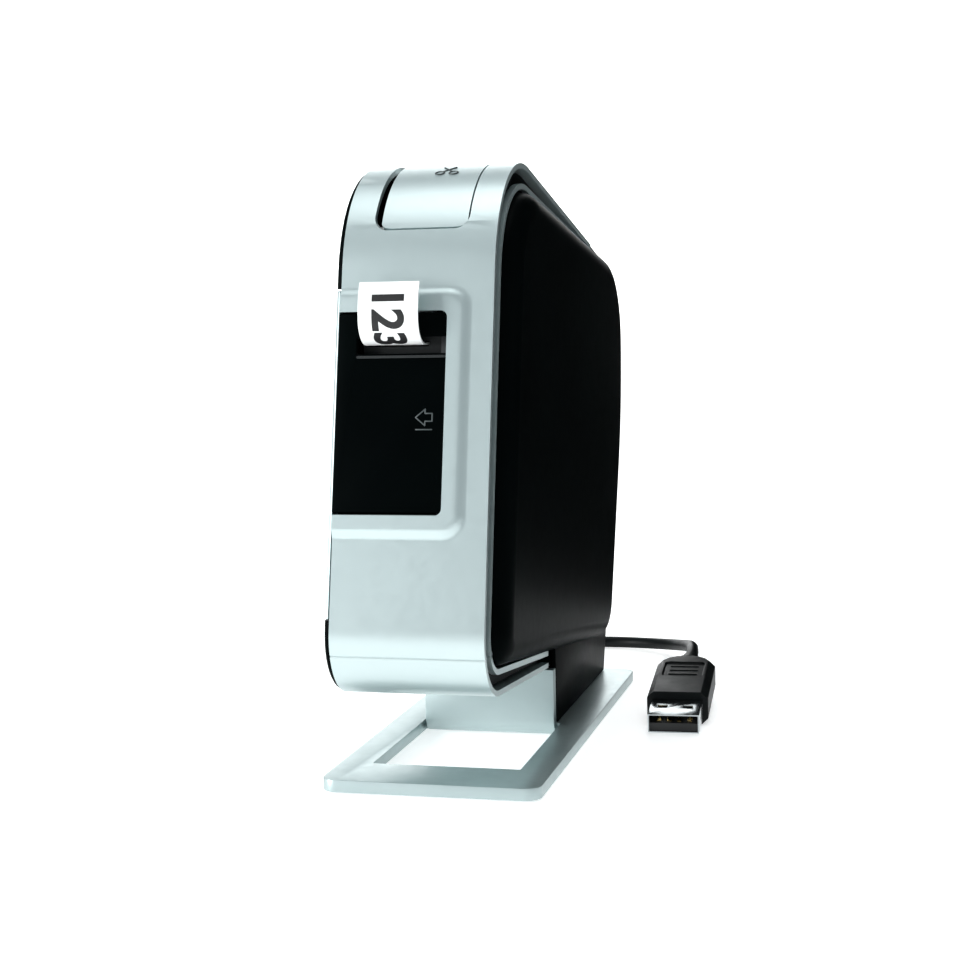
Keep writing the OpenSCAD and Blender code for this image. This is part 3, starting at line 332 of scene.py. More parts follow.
def addCable():
    points = cable["near"] + coilPoints() + cable["far"]
    line = bpy.data.curves.new("cableLead", "CURVE")
    line.dimensions = "3D"
    line.resolution_u = 5
    line.bevel_depth = cable["diameter"] / 2 * mm
    line.bevel_resolution = 5
    line.use_fill_caps = True
    spline = line.splines.new("BEZIER")
    spline.bezier_points.add(len(points) - 1)
    for point, place in zip(spline.bezier_points, points):
        point.co = Vector(place) * mm
        point.handle_left_type = point.handle_right_type = "AUTO"
    lead = bpy.data.objects.new("cableLead", line)
    scene.collection.objects.link(lead)
    settle(lead, housing, "cord_black", "cord_near", "cord_coil", "cord_far")
    return lead


lead = addCable()
print("cable laid")


# the body's side outline
bandLow, bandHigh = [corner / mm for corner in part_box("front_band")]
frontY, topZ = round(bandLow.y, 1), round(bandHigh.z, 1)
backY = round(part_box("rear_shell")[1].y / mm, 1)
leftX, rightX = round(bandLow.x, 2), round(bandHigh.x, 2)
body = {
    "under": 20.9,  # height of the underside at the front
    "rim": 4.4,  # silver rim on the right side
    "groove": 1.9,
    "bulge": 3.5,  # right cover past the band
    "coverDepth": 1.45,  # foot of the cover inside the band
    "backIn": 1.2,  # cover edge inside the back
    "split": 65.6,  # height where the band's lower and upper ends part
    "underEnd": -15.35,
    "topEnd": 46,
}
# corner circles (y, z, radius) and the steps each is drawn with, from the heel up the back
corners = [
    (backY - 31.5, body["under"] + 3.1, 12),
    (backY - 100, topZ - 40.2, 100),
    (backY - 23, topZ - 40.2, 23),
    (frontY + 42.9, topZ - 28, 28),
    (frontY + 12.7, body["under"] + 12.7, 12.7),
]
cornerSteps = (8, 10, 14, 22, 16)
heel, spine, crown, brow, chin = range(5)


def touchAngle(a, b):
    # direction of the outward normal of the line that touches two circles, from -100 degrees up
    apart = Vector((b[0] - a[0], b[1] - a[1]))
    turn = math.degrees(math.atan2(apart.y, apart.x) - math.acos((a[2] - b[2]) / apart.length))
    return turn - 360 * math.floor((turn + 100) / 360)


def onCircle(circle, angle, x):
    turn = math.radians(angle)
    return Vector((x, circle[0] + circle[2] * math.cos(turn), circle[1] + circle[2] * math.sin(turn))) * mm


def cornerRuns(frontIn, backIn):
    pulls = (backIn, backIn, backIn, frontIn, frontIn)
    circles = [(y, z, radius - pull) for (y, z, radius), pull in zip(corners, pulls)]
    first = touchAngle(circles[chin], circles[heel])
    ends = [touchAngle(circles[k], circles[k + 1]) for k in range(4)] + [first + 360]
    return list(zip(circles, [first] + ends[:-1], ends, cornerSteps))


frontTurn = touchAngle(corners[brow], corners[chin])
topTurn = touchAngle(corners[crown], corners[brow])
frontOut = Vector((0, math.cos(math.radians(frontTurn)), math.sin(math.radians(frontTurn))))
topOut = Vector((0, math.cos(math.radians(topTurn)), math.sin(math.radians(topTurn))))


# hand tools
def startPiece(name):
    bpy.ops.object.select_all(action="DESELECT")
    bpy.ops.mesh.primitive_plane_add(size=mm)
    piece = bpy.context.object
    piece.name = name
    bpy.ops.object.mode_set(mode="EDIT")
    bpy.ops.mesh.select_mode(type="VERT")
    bpy.ops.mesh.delete(type="VERT")
    return piece


def extrude(x, y, z):
    bpy.ops.mesh.extrude_region_move(TRANSFORM_OT_translate={"value": (x * mm, y * mm, z * mm)})


def dropPoint(place):
    bpy.ops.mesh.select_all(action="DESELECT")
    bpy.ops.mesh.primitive_circle_add(vertices=3, radius=0.1 * mm, location=place)
    bpy.ops.mesh.merge(type="CENTER")


def drawOutline(x, frontIn, backIn):
    runs = cornerRuns(frontIn, backIn)
    bpy.ops.mesh.select_mode(type="VERT")
    here = first = onCircle(runs[0][0], runs[0][1], x)
    dropPoint(here)
    for circle, start, end, steps in runs:
        extrude(*((onCircle(circle, start, x) - here) / mm))
        bpy.ops.mesh.spin(steps=steps, angle=-math.radians(end - start), axis=(1, 0, 0),
                          center=(x * mm, circle[0] * mm, circle[1] * mm))
        here = onCircle(circle, end, x)
    extrude(*((first - here) / mm))
    bpy.ops.mesh.select_linked()
    bpy.ops.mesh.remove_doubles(threshold=0.01 * mm)


def choose(kind, test):
    # selects the edited piece's vertices, edges or faces for which test is true
    bpy.ops.mesh.select_mode(type=kind)
    bpy.ops.mesh.select_all(action="DESELECT")
    sheet = bmesh.from_edit_mesh(bpy.context.object.data)
    items = {"VERT": sheet.verts, "EDGE": sheet.edges, "FACE": sheet.faces}[kind]
    chosen = 0
    for item in items:
        if test(item):
            item.select_set(True)
            chosen += 1
    bmesh.update_edit_mesh(bpy.context.object.data)
    return chosen


def cut(point, normal, drop=False, faces=None):
    if faces is None:
        bpy.ops.mesh.select_all(action="SELECT")
    elif not choose("FACE", faces):
        return
    bpy.ops.mesh.bisect(plane_co=Vector(point) * mm, plane_no=normal, clear_outer=drop)


def finishMesh(piece):
    bpy.ops.mesh.select_mode(type="VERT")
    bpy.ops.mesh.select_all(action="SELECT")
    bpy.ops.mesh.remove_doubles(threshold=0.005 * mm)
    bpy.ops.mesh.normals_make_consistent(inside=False)
    bpy.ops.object.mode_set(mode="OBJECT")
    return piece


def turnOut(piece, outward, where):
    # flips the piece if its face nearest to a place points away from outward
    near = min(piece.data.polygons, key=lambda face: (face.center - Vector(where) * mm).length)
    if near.normal.dot(Vector(outward)) < 0:
        pick(piece)
        bpy.ops.object.mode_set(mode="EDIT")
        bpy.ops.mesh.select_all(action="SELECT")
        bpy.ops.mesh.flip_normals()
        bpy.ops.object.mode_set(mode="OBJECT")


def thicken(piece, wall):
    pick(piece)
    solid = piece.modifiers.new("wall", "SOLIDIFY")
    solid.thickness = wall * mm
    solid.offset = -1
    solid.use_even_offset = True
    bpy.ops.object.modifier_apply(modifier="wall")


def roundEdges(piece, width, segments=3, angle=40):
    pick(piece)
    bevel = piece.modifiers.new("edges", "BEVEL")
    bevel.width = width * mm
    bevel.segments = segments
    bevel.limit_method = "ANGLE"
    bevel.angle_limit = math.radians(angle)
    bpy.ops.object.modifier_apply(modifier="edges")


def smooth(piece, angle=35):
    pick(piece)
    bpy.ops.object.shade_smooth_by_angle(angle=math.radians(angle))
    even = piece.modifiers.new("shading", "WEIGHTED_NORMAL")
    even.keep_sharp = True
    bpy.ops.object.modifier_apply(modifier="shading")


def carve(piece, tool):
    pick(piece)
    carving = piece.modifiers.new("carve", "BOOLEAN")
    carving.operation = "DIFFERENCE"
    carving.object = tool
    carving.solver = "EXACT"
    bpy.ops.object.modifier_apply(modifier="carve")
    bpy.data.objects.remove(tool, do_unlink=True)


def block(low, high, edges=None, width=0, segments=6):
    # a box between two corners, with the edges along one axis rounded
    bpy.ops.object.select_all(action="DESELECT")
    bpy.ops.mesh.primitive_cube_add(size=1)
    box = bpy.context.object
    size = [(b - a) * mm for a, b in zip(low, high)]
    middle = [(a + b) / 2 * mm for a, b in zip(low, high)]
    box.data.transform(Matrix.Translation(middle) @ Matrix.Diagonal((*size, 1)))
    if edges is not None:
        bpy.ops.object.mode_set(mode="EDIT")
        axis = Vector([float(name == edges) for name in "xyz"])
        choose("EDGE", lambda edge: abs((edge.verts[0].co - edge.verts[1].co).normalized().dot(axis)) > 0.9)
        bpy.ops.mesh.bevel(offset=width * mm, segments=segments, affect="EDGES")
        bpy.ops.object.mode_set(mode="OBJECT")
    return box


def joined(first, *others):
    pick(first)
    for other in others:
        other.select_set(True)
    bpy.ops.object.join()
    return first


# silver band
band = {
    "wall": 1.2,
    "edge": 1.3,  # rounding of the right edge
    "softEdge": 0.22,  # rounding of the other edges
    "lip": 1.3,  # depth of the rim
    "rimBack": 0.9,
    "frontEnd": -55,  # what lies ahead of this depth is the front
    "window": (5, 59, 100),  # right edge, foot and head
    "windowRound": 1.4,
    "frame": 2.8,  # flat of the raised frame round the window
    "slope": 2.3,
    "frameSteps": (4, 6),  # cuts across the flat and the slope
    "raise": 0.75,
    "crease": 30.5,
    "creaseHalf": 0.4,
    "creaseDepth": 0.22,
    "powerHole": (6.15, 20),  # radius and depth
    "buttonCorner": 3.0,
    "buttonHole": (-12, 8.45, 116.65, -19.1),  # left, right, foot and rear end
    "past": (8, 40, 20),  # how far a cutting block reaches ahead, behind and above
}


def isFront(face):
    return abs(face.normal.y) > 0.9 and face.calc_center_median().y < band["frontEnd"] * mm


def raiseFrame():
    right, foot, head = band["window"]
    flat, slope = band["frame"], band["slope"]
    flatSteps, slopeSteps = band["frameSteps"]
    marks = [flat * k / flatSteps for k in range(flatSteps + 1)]
    marks += [flat + slope * k / slopeSteps for k in range(1, slopeSteps + 1)]
    for mark in marks:
        cut((right + mark, 0, 0), (1, 0, 0), faces=isFront)
        cut((0, 0, head + mark), (0, 0, 1), faces=isFront)
        cut((0, 0, foot - mark), (0, 0, 1), faces=isFront)
    sheet = bmesh.from_edit_mesh(bpy.context.object.data)
    for vertex in sheet.verts:
        place = vertex.co / mm
        onFront = abs((vertex.co - onCircle(corners[chin], frontTurn, 0)).dot(frontOut)) < 0.01 * mm
        if not onFront:
            continue
        aside = max(0, place.x - right)
        above = max(0, place.z - head, foot - place.z)
        part = min(1, max(0, (math.hypot(aside, above) - flat) / slope))
        vertex.co += frontOut * band["raise"] * mm * (1 - part * part * (3 - 2 * part))
    bmesh.update_edit_mesh(bpy.context.object.data)


def pressCrease():
    frontEnd, half = band["frontEnd"] * mm, band["creaseHalf"]
    lower = lambda face: face.calc_center_median().y < frontEnd and abs(face.normal.x) < 0.3
    for step in (-half, 0, half):
        cut((0, 0, band["crease"] + step), (0, 0, 1), faces=lower)
    sheet = bmesh.from_edit_mesh(bpy.context.object.data)
    for vertex in sheet.verts:
        if vertex.co.y < frontEnd and abs(vertex.co.z / mm - band["crease"]) < 0.02:
            vertex.co.y += band["creaseDepth"] * mm


def addBand():
    shell = startPiece("bandShell")
    drawOutline(rightX, 0, 0)
    extrude(leftX - rightX, 0, 0)
    drawOutline(rightX, body["rim"], band["rimBack"])
    extrude(-band["lip"], 0, 0)
    atRight = lambda vertex: abs(vertex.co.x / mm - rightX) < 0.01
    choose("VERT", atRight)
    bpy.ops.mesh.select_mode(type="EDGE")
    bpy.ops.mesh.bridge_edge_loops()
    cut((0, 0, body["split"]), (0, 0, 1))
    lower = lambda face: face.calc_center_median().z < body["split"] * mm
    upper = lambda face: face.calc_center_median().z > body["split"] * mm
    cut((0, body["underEnd"], 0), (0, 1, 0), True, lower)
    cut((0, body["topEnd"], 0), (0, 1, 0), True, upper)
    outer = lambda edge: all(atRight(v) for v in edge.verts) and any(
        abs(v.co.x / mm - leftX) < 0.01 for face in edge.link_faces for v in face.verts)
    choose("EDGE", outer)
    bpy.ops.mesh.bevel(offset=band["edge"] * mm, segments=5, affect="EDGES")
    raiseFrame()
    pressCrease()
    finishMesh(shell)
    turnOut(shell, frontOut, (0, frontY, 50))
    thicken(shell, band["wall"])
    ahead, behind, above = band["past"]
    right, foot, head = band["window"]
    carve(shell, block((leftX - ahead, frontY - ahead, foot), (right, frontY + behind, head),
                       "y", band["windowRound"]))
    left, right, foot, rearEnd = band["buttonHole"]
    carve(shell, block((left, frontY - ahead, foot), (right, rearEnd, topZ + above),
                       "y", band["buttonCorner"]))
    carve(shell, powerHole())
    roundEdges(shell, band["softEdge"], 2, 50)
    smooth(shell)
    return settle(shell, housing, "silver_paint", "front_band")


def powerHole():
    low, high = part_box("power_light_ring")
    radius, depth = band["powerHole"]
    bpy.ops.object.select_all(action="DESELECT")
    bpy.ops.mesh.primitive_cylinder_add(vertices=64, radius=radius * mm, depth=depth * mm)
    tool = bpy.context.object
    place = Matrix.Translation((low + high) / 2) @ topOut.to_track_quat("Z", "Y").to_matrix().to_4x4()
    tool.data.transform(place)
    return tool


addBand()
print("band made")


# cutter button
button = {
    "left": -10.3,
    "right": 8.1,
    "foot": 117,
    "rear": -21,
    "corner": 2.6,
    "wall": 2.2,
    "edge": 0.5,
    "icon": (0.5, 110.5),  # place across, and turn round the brow in degrees
    "line": 0.32,
    "loop": (1.5, -1.4, 0.95),  # place and radius of a handle
    "blade": ((1.0, -0.6), (1.3, 2.4)),
}


def bar(start, end, width, depth, place):
    # a thin rounded bar between two points of a flat icon, put in its place on the body
    bpy.ops.object.select_all(action="DESELECT")
    run = Vector(end) - Vector(start)
    bpy.ops.mesh.primitive_cube_add(size=1)
    line = bpy.context.object
    shape = Matrix.Diagonal(((run.length + width * 0.6) * mm, width * mm, depth * mm, 1))
    turn = Matrix.Rotation(math.atan2(run.y, run.x), 4, "Z")
    middle = (Vector(start) + Vector(end)) / 2
    line.data.transform(place @ Matrix.Translation(Vector((middle.x, middle.y, 0)) * mm) @ turn @ shape)
    roundEdges(line, width * 0.28, 2)
    return line


def ring(middle, radius, width, place):
    bpy.ops.object.select_all(action="DESELECT")
    bpy.ops.mesh.primitive_torus_add(major_radius=radius * mm, minor_radius=width / 2 * mm,
                                     major_segments=28, minor_segments=8)
    loop = bpy.context.object
    loop.data.transform(place @ Matrix.Translation(Vector((*middle, 0)) * mm))
    return loop


def facing(point, outward):
    # matrix of a flat icon: its X along the width of the body, its Z outwards
    out = Vector(outward).normalized()
    up = out.cross(Vector((1, 0, 0)))
    turn = Matrix((Vector((1, 0, 0)), up, out)).transposed().to_4x4()
    return Matrix.Translation(Vector(point) * mm) @ turn


def addScissors():
    across, turn = button["icon"]
    spot = onCircle(corners[brow], turn, across * mm) / mm
    spot.x = across
    out = (0, math.cos(math.radians(turn)), math.sin(math.radians(turn)))
    place = facing(spot, out)
    width = button["line"]
    loopX, loopY, loopRadius = button["loop"]
    (lowX, lowY), (highX, highY) = button["blade"]
    parts = []
    for side in (-1, 1):
        parts.append(ring((side * loopX, loopY), loopRadius, width, place))
    for side in (-1, 1):
        parts.append(bar((side * lowX, lowY), (-side * highX, highY), width, width, place))
    icon = joined(*parts)
    icon.name = "scissorsMark"
    smooth(icon)
    return settle(icon, "cutter_lever", "icon_grey")


def addButton():
    piece = startPiece("buttonSkin")
    drawOutline(button["left"], 0, 0)
    extrude(button["right"] - button["left"], 0, 0)
    cut((0, 0, button["foot"]), (0, 0, -1), True)
    cut((0, button["rear"], 0), (0, 1, 0), True)
    choose("VERT", lambda vertex: abs(vertex.co.z / mm - button["foot"]) < 0.02
           and min(abs(vertex.co.x / mm - button[side]) for side in ("left", "right")) < 0.02)
    bpy.ops.mesh.bevel(offset=button["corner"] * mm, segments=6, affect="VERTICES")
    finishMesh(piece)
    turnOut(piece, topOut, (0, -40, topZ))
    thicken(piece, button["wall"])
    roundEdges(piece, button["edge"], 4, 50)
    smooth(piece)
    return settle(piece, "cutter_lever", "silver_paint", "cutter_button")


addButton()
addScissors()
print("button made")


# right cover
cover = {
    "inset": 5,
    "steps": 8,
    "wall": 1.6,
    "upright": 1,  # straight part of its side, before it curves in
    "floor": 1.15,
    "floorIn": 2.15,  # edge of the groove's plate inside the outline
    "neckFront": -12.6,
    "neckHigh": 23.7,
    "neckPast": (1.4, 9),  # how far the neck's opening reaches inwards, and out to the right and back
}


def neckBox():
    inward, past = cover["neckPast"]
    return block((rightX - inward, cover["neckFront"], 0), (rightX + past, backY + past, cover["neckHigh"]))


def addRightCover():
    base = rightX - body["coverDepth"]
    dome = startPiece("rightCoverSkin")
    drawOutline(base, body["rim"] + body["groove"], body["backIn"])
    bpy.ops.mesh.edge_face_add()
    extrude(cover["upright"], 0, 0)
    bpy.ops.mesh.select_all(action="SELECT")
    bpy.ops.mesh.normals_make_consistent(inside=False)
    choose("FACE", lambda face: face.calc_center_median().x > (base + 0.9 * cover["upright"]) * mm)
    high = body["bulge"] + body["coverDepth"] - cover["upright"]
    before = 0.0, 0.0
    for step in range(1, cover["steps"] + 1):
        part = math.radians(90 * step / cover["steps"])
        inward, up = cover["inset"] * (1 - math.cos(part)), high * math.sin(part)
        bpy.ops.mesh.inset(thickness=(inward - before[0]) * mm, depth=(up - before[1]) * mm)
        before = inward, up
    finishMesh(dome)
    turnOut(dome, (1, 0, 0), (rightX + body["bulge"], 10, 60))
    thicken(dome, cover["wall"])
    carve(dome, neckBox())
    smooth(dome)
    plate = startPiece("groovePlate")
    drawOutline(base - cover["floor"], cover["floorIn"], cover["floorIn"])
    bpy.ops.mesh.edge_face_add()
    extrude(cover["floor"], 0, 0)
    finishMesh(plate)
    carve(plate, neckBox())
    return settle(joined(dome, plate), housing, "gloss_black", "right_cover")


addRightCover()
print("right cover made")


# rear shell
rear = {
    "wall": 2,
    "low": -12.05,
    "high": 46.15,
    "edge": 0.8,
}


def addRearShell():
    shell = startPiece("rearSkin")
    drawOutline(rightX, 0, 0)
    extrude(leftX - rightX, 0, 0)
    cut((0, 0, body["split"]), (0, 0, 1))
    cut((0, rear["low"], 0), (0, -1, 0), True, lambda face: face.calc_center_median().z < body["split"] * mm)
    cut((0, rear["high"], 0), (0, -1, 0), True, lambda face: face.calc_center_median().z > body["split"] * mm)
    finishMesh(shell)
    turnOut(shell, (0, 1, 0), (0, backY, 80))
    thicken(shell, rear["wall"])
    roundEdges(shell, rear["edge"], 4)
    smooth(shell)
    return settle(shell, housing, "gloss_black", "rear_shell")


addRearShell()
print("rear shell made")


# panel marks and label print
panel = {
    "slot": (-14.2, 4.7, 91.0),  # left, right and height of the lip under the slot
    "lip": (0.55, 0.2, 0.5),  # height, how far it stands out and how far it goes in
    "lipRound": 0.26,
    "arrow": (0.6, 78.5),
    "arrowIn": 0.25,  # its middle inside the front plane
    "line": 0.3,
    "outline": [(-1.8, 0), (0.2, 1.7), (0.2, 0.8), (1.7, 0.8), (1.7, -0.8), (0.2, -0.8), (0.2, -1.7)],
    "stop": ((-1.7, -2.5), (1.7, -2.5)),  # the line under the arrow
}
label = {
    "digits": "123",
    "size": 9.2,
    "offset": 0.28,  # boldness
    "start": 1.2,
    "across": -6.4,
    "bend": ((-62, 98.4), 5.4),
    "curl": ((-51.2, 98.4), 16.2),
    "curlFrom": 152,
    "ink": 0.03,
    "cuts": (59, 0.4),  # how many lines the print can bend along, and how far apart
}


def frontAt(across, height, inward=0.0):
    foot = onCircle(corners[chin], frontTurn, 0) / mm
    along = foot.y - frontOut.z * (height - foot.z) / frontOut.y
    return Vector((across, along, height)) - frontOut * inward


def addPanelMarks():
    left, right, height = panel["slot"]
    high, out, inward = panel["lip"]
    front = frontAt(0, height).y
    lip = block((left, front - out, height - high), (right, front + inward, height),
                "y", panel["lipRound"], 3)
    lip.name = "slotLip"
    smooth(lip)
    place = facing(frontAt(*panel["arrow"], panel["arrowIn"]), frontOut)
    width = panel["line"]
    outline = panel["outline"]
    parts = [bar(a, b, width, width, place) for a, b in zip(outline, outline[1:] + outline[:1])]
    parts.append(bar(*panel["stop"], width, width, place))
    arrow = joined(*parts)
    arrow.name = "arrowMark"
    smooth(arrow)
    settle(lip, "cassette_door", "matte_black")
    settle(arrow, "cassette_door", "icon_grey")


def labelPlace(across, along, out):
    # a place on the label's outer face, measured along it from its free end
    (curlY, curlZ), curlR = label["curl"]
    (bendY, bendZ), bendR = label["bend"]
    curlRun = math.radians(180 - label["curlFrom"]) * curlR
    if along < curlRun:
        turn = math.radians(label["curlFrom"]) + along / curlR
        reach = curlR + out
        return Vector((across, curlY + reach * math.cos(turn), curlZ + reach * math.sin(turn)))
    turn = math.pi + (along - curlRun) / bendR
    reach = bendR + out
    if turn < 1.5 * math.pi:
        return Vector((across, bendY + reach * math.cos(turn), bendZ + reach * math.sin(turn)))
    return Vector((across, bendY + (turn - 1.5 * math.pi) * bendR, bendZ - reach))


def addDigits():
    bpy.ops.object.select_all(action="DESELECT")
    bpy.ops.object.text_add()
    text = bpy.context.object
    text.data.body = label["digits"]
    text.data.size = label["size"] * mm
    text.data.offset = label["offset"] * mm
    text.data.extrude = label["ink"] * mm
    text.data.align_y = "CENTER"
    bpy.ops.object.convert(target="MESH")
    digits = bpy.context.object
    digits.name = "labelDigits"
    bpy.ops.object.mode_set(mode="EDIT")
    bpy.ops.mesh.select_all(action="SELECT")
    bpy.ops.mesh.remove_doubles(threshold=0.001 * mm)
    count, apart = label["cuts"]
    for step in range(1, count + 1):
        cut((step * apart, 0, 0), (1, 0, 0))
    bpy.ops.object.mode_set(mode="OBJECT")
    places = [vertex.co / mm for vertex in digits.data.vertices]
    middle = (min(place.y for place in places) + max(place.y for place in places)) / 2
    for vertex, place in zip(digits.data.vertices, places):
        vertex.co = labelPlace(label["across"] + place.y - middle, label["start"] + place.x, place.z) * mm
    digits.data.update()
    return settle(digits, housing, "print_black")


addPanelMarks()
addDigits()
print("marks made")


# cable plug
plug = {
    "tail": (39.5, 46.5, 7.8),
    "turn": 3,
    "tilt": 5,
    "length": 43,
    "half": 4.0,  # half height of the grip
    # distance from the tail, half width and half height of each section
    "sections": [(9, 3.4, 3.0), (10.6, 4.4, 3.5), (13.5, 6.2, 3.9), (16, 7.3, 4.0), (31, 7.3, 4.0)],
    "chamfer": 1.5,
    "edge": 0.45,
    "recess": (17.5, 29.5, 4.9, 0.45),  # near and far end, half width and depth
    "recessRound": 1.2,
    "recessPast": 3,  # how far the cutting block reaches above the grip
    "ridges": (20.2, 23.5, 26.8),
    "ridge": (1.4, 0.45, 0.2, 0.22),  # gap at its ends, half width, how far it goes in and stands out
    "ridgeRound": 0.2,
    "relief": (0.3, 8.8),  # start and length of the ribbed sleeve
    "reliefRadius": (2.0, 1.2),  # at the cable, and how much it grows
    "reliefEdge": 0.2,
    "ribs": 4,
    "ribDepth": 0.18,
}


def plugMatrix():
    place = Matrix.Translation(Vector(plug["tail"]) * mm)
    turn = Matrix.Rotation(math.radians(plug["turn"]), 4, "Z")
    return place @ turn @ Matrix.Rotation(math.radians(plug["tilt"]), 4, "X")


def plugGrip():
    bpy.ops.object.select_all(action="DESELECT")
    bpy.ops.mesh.primitive_cube_add(size=1)
    grip = bpy.context.object
    grip.name = "plugGrip"
    start = plug["sections"][0]
    grip.data.transform(Matrix.Translation((0, -(start[0] - 0.5) * mm, 0))
                        @ Matrix.Diagonal((2 * start[1] * mm, 1 * mm, 2 * start[2] * mm, 1)))
    bpy.ops.object.mode_set(mode="EDIT")
    choose("FACE", lambda face: face.normal.y < -0.9)
    for before, after in zip(plug["sections"], plug["sections"][1:]):
        extrude(0, before[0] - after[0], 0)
        bpy.ops.transform.resize(value=(after[1] / before[1], 1, after[2] / before[2]),
                                 center_override=(0, -after[0] * mm, 0))
    extrude(0, plug["sections"][-1][0] - plug["length"], 0)
    choose("EDGE", lambda edge: all(abs(vertex.co.x) > 3 * mm for vertex in edge.verts)
           and abs((edge.verts[0].co - edge.verts[1].co).normalized().y) > 0.3
           and edge.verts[0].co.x * edge.verts[1].co.x > 0)
    bpy.ops.mesh.bevel(offset=plug["chamfer"] * mm, segments=1, affect="EDGES")
    finishMesh(grip)
    near, far, half, depth = plug["recess"]
    for side in (1, -1):
        high = side * plug["half"]
        low, top = sorted((high - side * depth, high + side * plug["recessPast"]))
        carve(grip, block((-half, -far, low), (half, -near, top), "z", plug["recessRound"], 4))
    roundEdges(grip, plug["edge"], 3, 30)
    smooth(grip, 40)
    return grip


def gripRidges():
    near, far, half, depth = plug["recess"]
    gap, thick, inward, out = plug["ridge"]
    floor = plug["half"] - depth
    ridges = []
    for side in (1, -1):
        for along in plug["ridges"]:
            low, top = sorted((side * (floor - inward), side * (floor + out)))
            ridge = block((-half + gap, -along - thick, low), (half - gap, -along + thick, top),
                          "x", plug["ridgeRound"], 2)
            smooth(ridge)
            ridges.append(ridge)
    return ridges


def plugRelief():
    # the ribbed sleeve between the cable and the grip
    start, length = plug["relief"]
    thin, growth = plug["reliefRadius"]
    bpy.ops.object.select_all(action="DESELECT")
    bpy.ops.mesh.primitive_cone_add(vertices=40, radius1=1, radius2=1, depth=1)
    relief = bpy.context.object
    relief.data.transform(Matrix.Rotation(math.radians(90), 4, "X"))
    relief.data.transform(Matrix.Diagonal((thin * mm, length * mm, thin * mm, 1)))
    relief.data.transform(Matrix.Translation((0, -(start + length / 2) * mm, 0)))
    bpy.ops.object.mode_set(mode="EDIT")
    cuts = plug["ribs"] * 4
    for step in range(1, cuts):
        cut((0, -start - length * step / cuts, 0), (0, 1, 0))
    sheet = bmesh.from_edit_mesh(relief.data)
    for vertex in sheet.verts:
        part = min(1, max(0, (-vertex.co.y / mm - start) / length))
        wave = 0.5 - 0.5 * math.cos(2 * math.pi * plug["ribs"] * part)
        rib = 0 if part in (0, 1) else plug["ribDepth"] * wave
        swell = (thin + growth * part - rib) / thin
        vertex.co.x *= swell
        vertex.co.z *= swell
    bmesh.update_edit_mesh(relief.data)
    finishMesh(relief)
    roundEdges(relief, plug["reliefEdge"], 2, 60)
    smooth(relief, 50)
    return relief


def addPlug():
    grip = plugGrip()
    ridges = gripRidges()
    whole = joined(grip, plugRelief(), *ridges)
    whole.data.transform(plugMatrix())
    return settle(whole, housing, "cord_black", "usb_overmould")


overmould = addPlug()
print("plug made")


# softened pieces
edgeWidths = {
    "stand_plate": 0.4,
    "neck_housing": 0.4,
    "left_cover": 0.25,
    "door_panel": 0.2,
    "door_rim": 0.15,
    "door_window": 0.2,
    "power_button": 0.25,
    "power_light_ring": 0.1,
    "usb_shell": 0.08,
    "cord_tie": 0.2,
    "device_plug": 0.4,
}
bodyOf = {node: name for name, members in frame["record"]["behaviour"]["bodies"].items() for node in members}
for name, width in edgeWidths.items():
    words = name.split("_")
    piece = softened(name, words[0] + "".join(word.capitalize() for word in words[1:]) + "Piece", width)
    settle(piece, bodyOf[name], slotOf[name], name)
print("edges softened")


# studio
studio = {
    "paper": (0.92, 0.93, 0.93),
    "paperGlow": 0.45,
    "halfWidth": 3.0,  # metres
    "sweep": 1.2,
    "air": (0.90, 0.97, 1.0),
    "airLight": 0.33,
    # name: place, target, size, watts
    "lamps": {
        "keyLight": ((-1.1, -0.8, 0.3), (0, 0, 0.06), (0.6, 0.9), 19),
        "topLight": ((0.0, -0.1, 1.5), (0, 0.05, 0), (1.0, 1.0), 6),
        "backLight": ((0, 2.0, 1.8), (0, 4.2, 0.9), (3, 1.2), 90),
    },
    "card": ((0.022, 0.16, 0.0), (0.7, 0.16, 0.4)),  # dark card beside the right rear, out of the picture
}


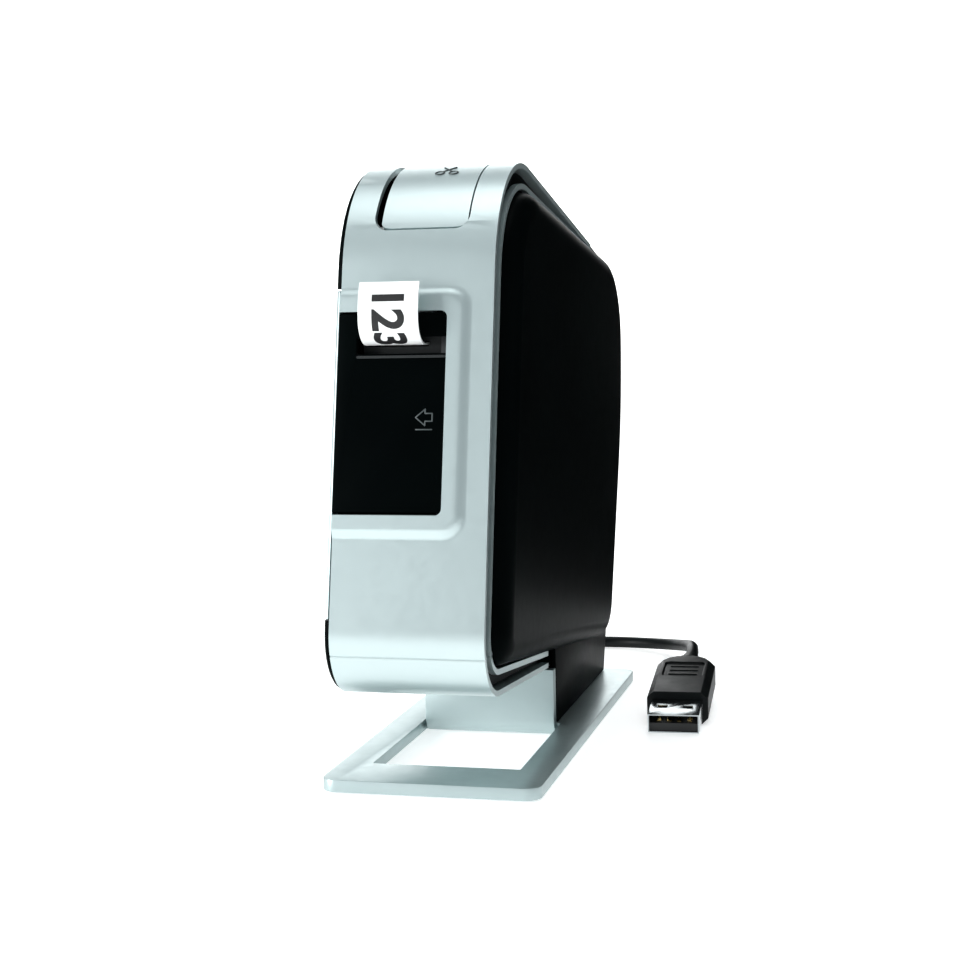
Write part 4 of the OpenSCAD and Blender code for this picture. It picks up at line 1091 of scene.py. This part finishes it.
def addFloor():
    bpy.ops.object.select_all(action="DESELECT")
    bpy.ops.mesh.primitive_plane_add(size=2 * studio["halfWidth"])
    floor = bpy.context.object
    floor.name = "studioFloor"
    bpy.ops.object.mode_set(mode="EDIT")
    choose("EDGE", lambda edge: all(vertex.co.y > 0 for vertex in edge.verts))
    sweep = studio["sweep"]
    bpy.ops.mesh.spin(steps=16, angle=-math.radians(90), axis=(1, 0, 0),
                      center=(0, studio["halfWidth"], sweep))
    bpy.ops.mesh.extrude_region_move(TRANSFORM_OT_translate={"value": (0, 0, 3)})
    bpy.ops.object.mode_set(mode="OBJECT")
    bpy.ops.object.shade_smooth()
    material, tree, shader, where = newMaterial("studioPaper")
    shader.inputs["Roughness"].default_value = 0.6
    shader.inputs["Emission Color"].default_value = (1, 1, 1, 1)
    shader.inputs["Emission Strength"].default_value = studio["paperGlow"]
    cloud = addNoise(tree, where, 3)
    tree.links.new(tint(tree, cloud, studio["paper"], studio["paper"]), shader.inputs["Base Color"])
    floor.data.materials.append(material)


def addCard():
    low, high = studio["card"]
    bpy.ops.object.select_all(action="DESELECT")
    bpy.ops.mesh.primitive_plane_add(size=1)
    card = bpy.context.object
    card.name = "darkCard"
    middle = (Vector(low) + Vector(high)) / 2
    size = Vector(high) - Vector(low)
    card.data.transform(Matrix.Translation(middle) @ Matrix.Rotation(math.radians(90), 4, "X")
                        @ Matrix.Diagonal((size.x, size.z, 1, 1)))
    material, tree, shader, where = newMaterial("cardBlack")
    shader.inputs["Base Color"].default_value = (0.01, 0.01, 0.01, 1)
    shader.inputs["Specular IOR Level"].default_value = 0.1
    card.data.materials.append(material)
    card.visible_camera = False
    card.visible_shadow = False
    card.visible_diffuse = False


def addLights():
    for name, (place, target, size, watts) in studio["lamps"].items():
        bpy.ops.object.light_add(type="AREA", location=place)
        lamp = bpy.context.object
        lamp.name = name
        lamp.data.shape = "RECTANGLE"
        lamp.data.size, lamp.data.size_y = size
        lamp.data.energy = watts
        lamp.rotation_euler = (Vector(target) - Vector(place)).to_track_quat("-Z", "Y").to_euler()
    air = bpy.data.worlds.new("studioAir")
    air.use_nodes = True
    air.node_tree.nodes["Background"].inputs["Color"].default_value = (*studio["air"], 1)
    air.node_tree.nodes["Background"].inputs["Strength"].default_value = studio["airLight"]
    scene.world = air


addFloor()
addCard()
addLights()
print("studio lit")
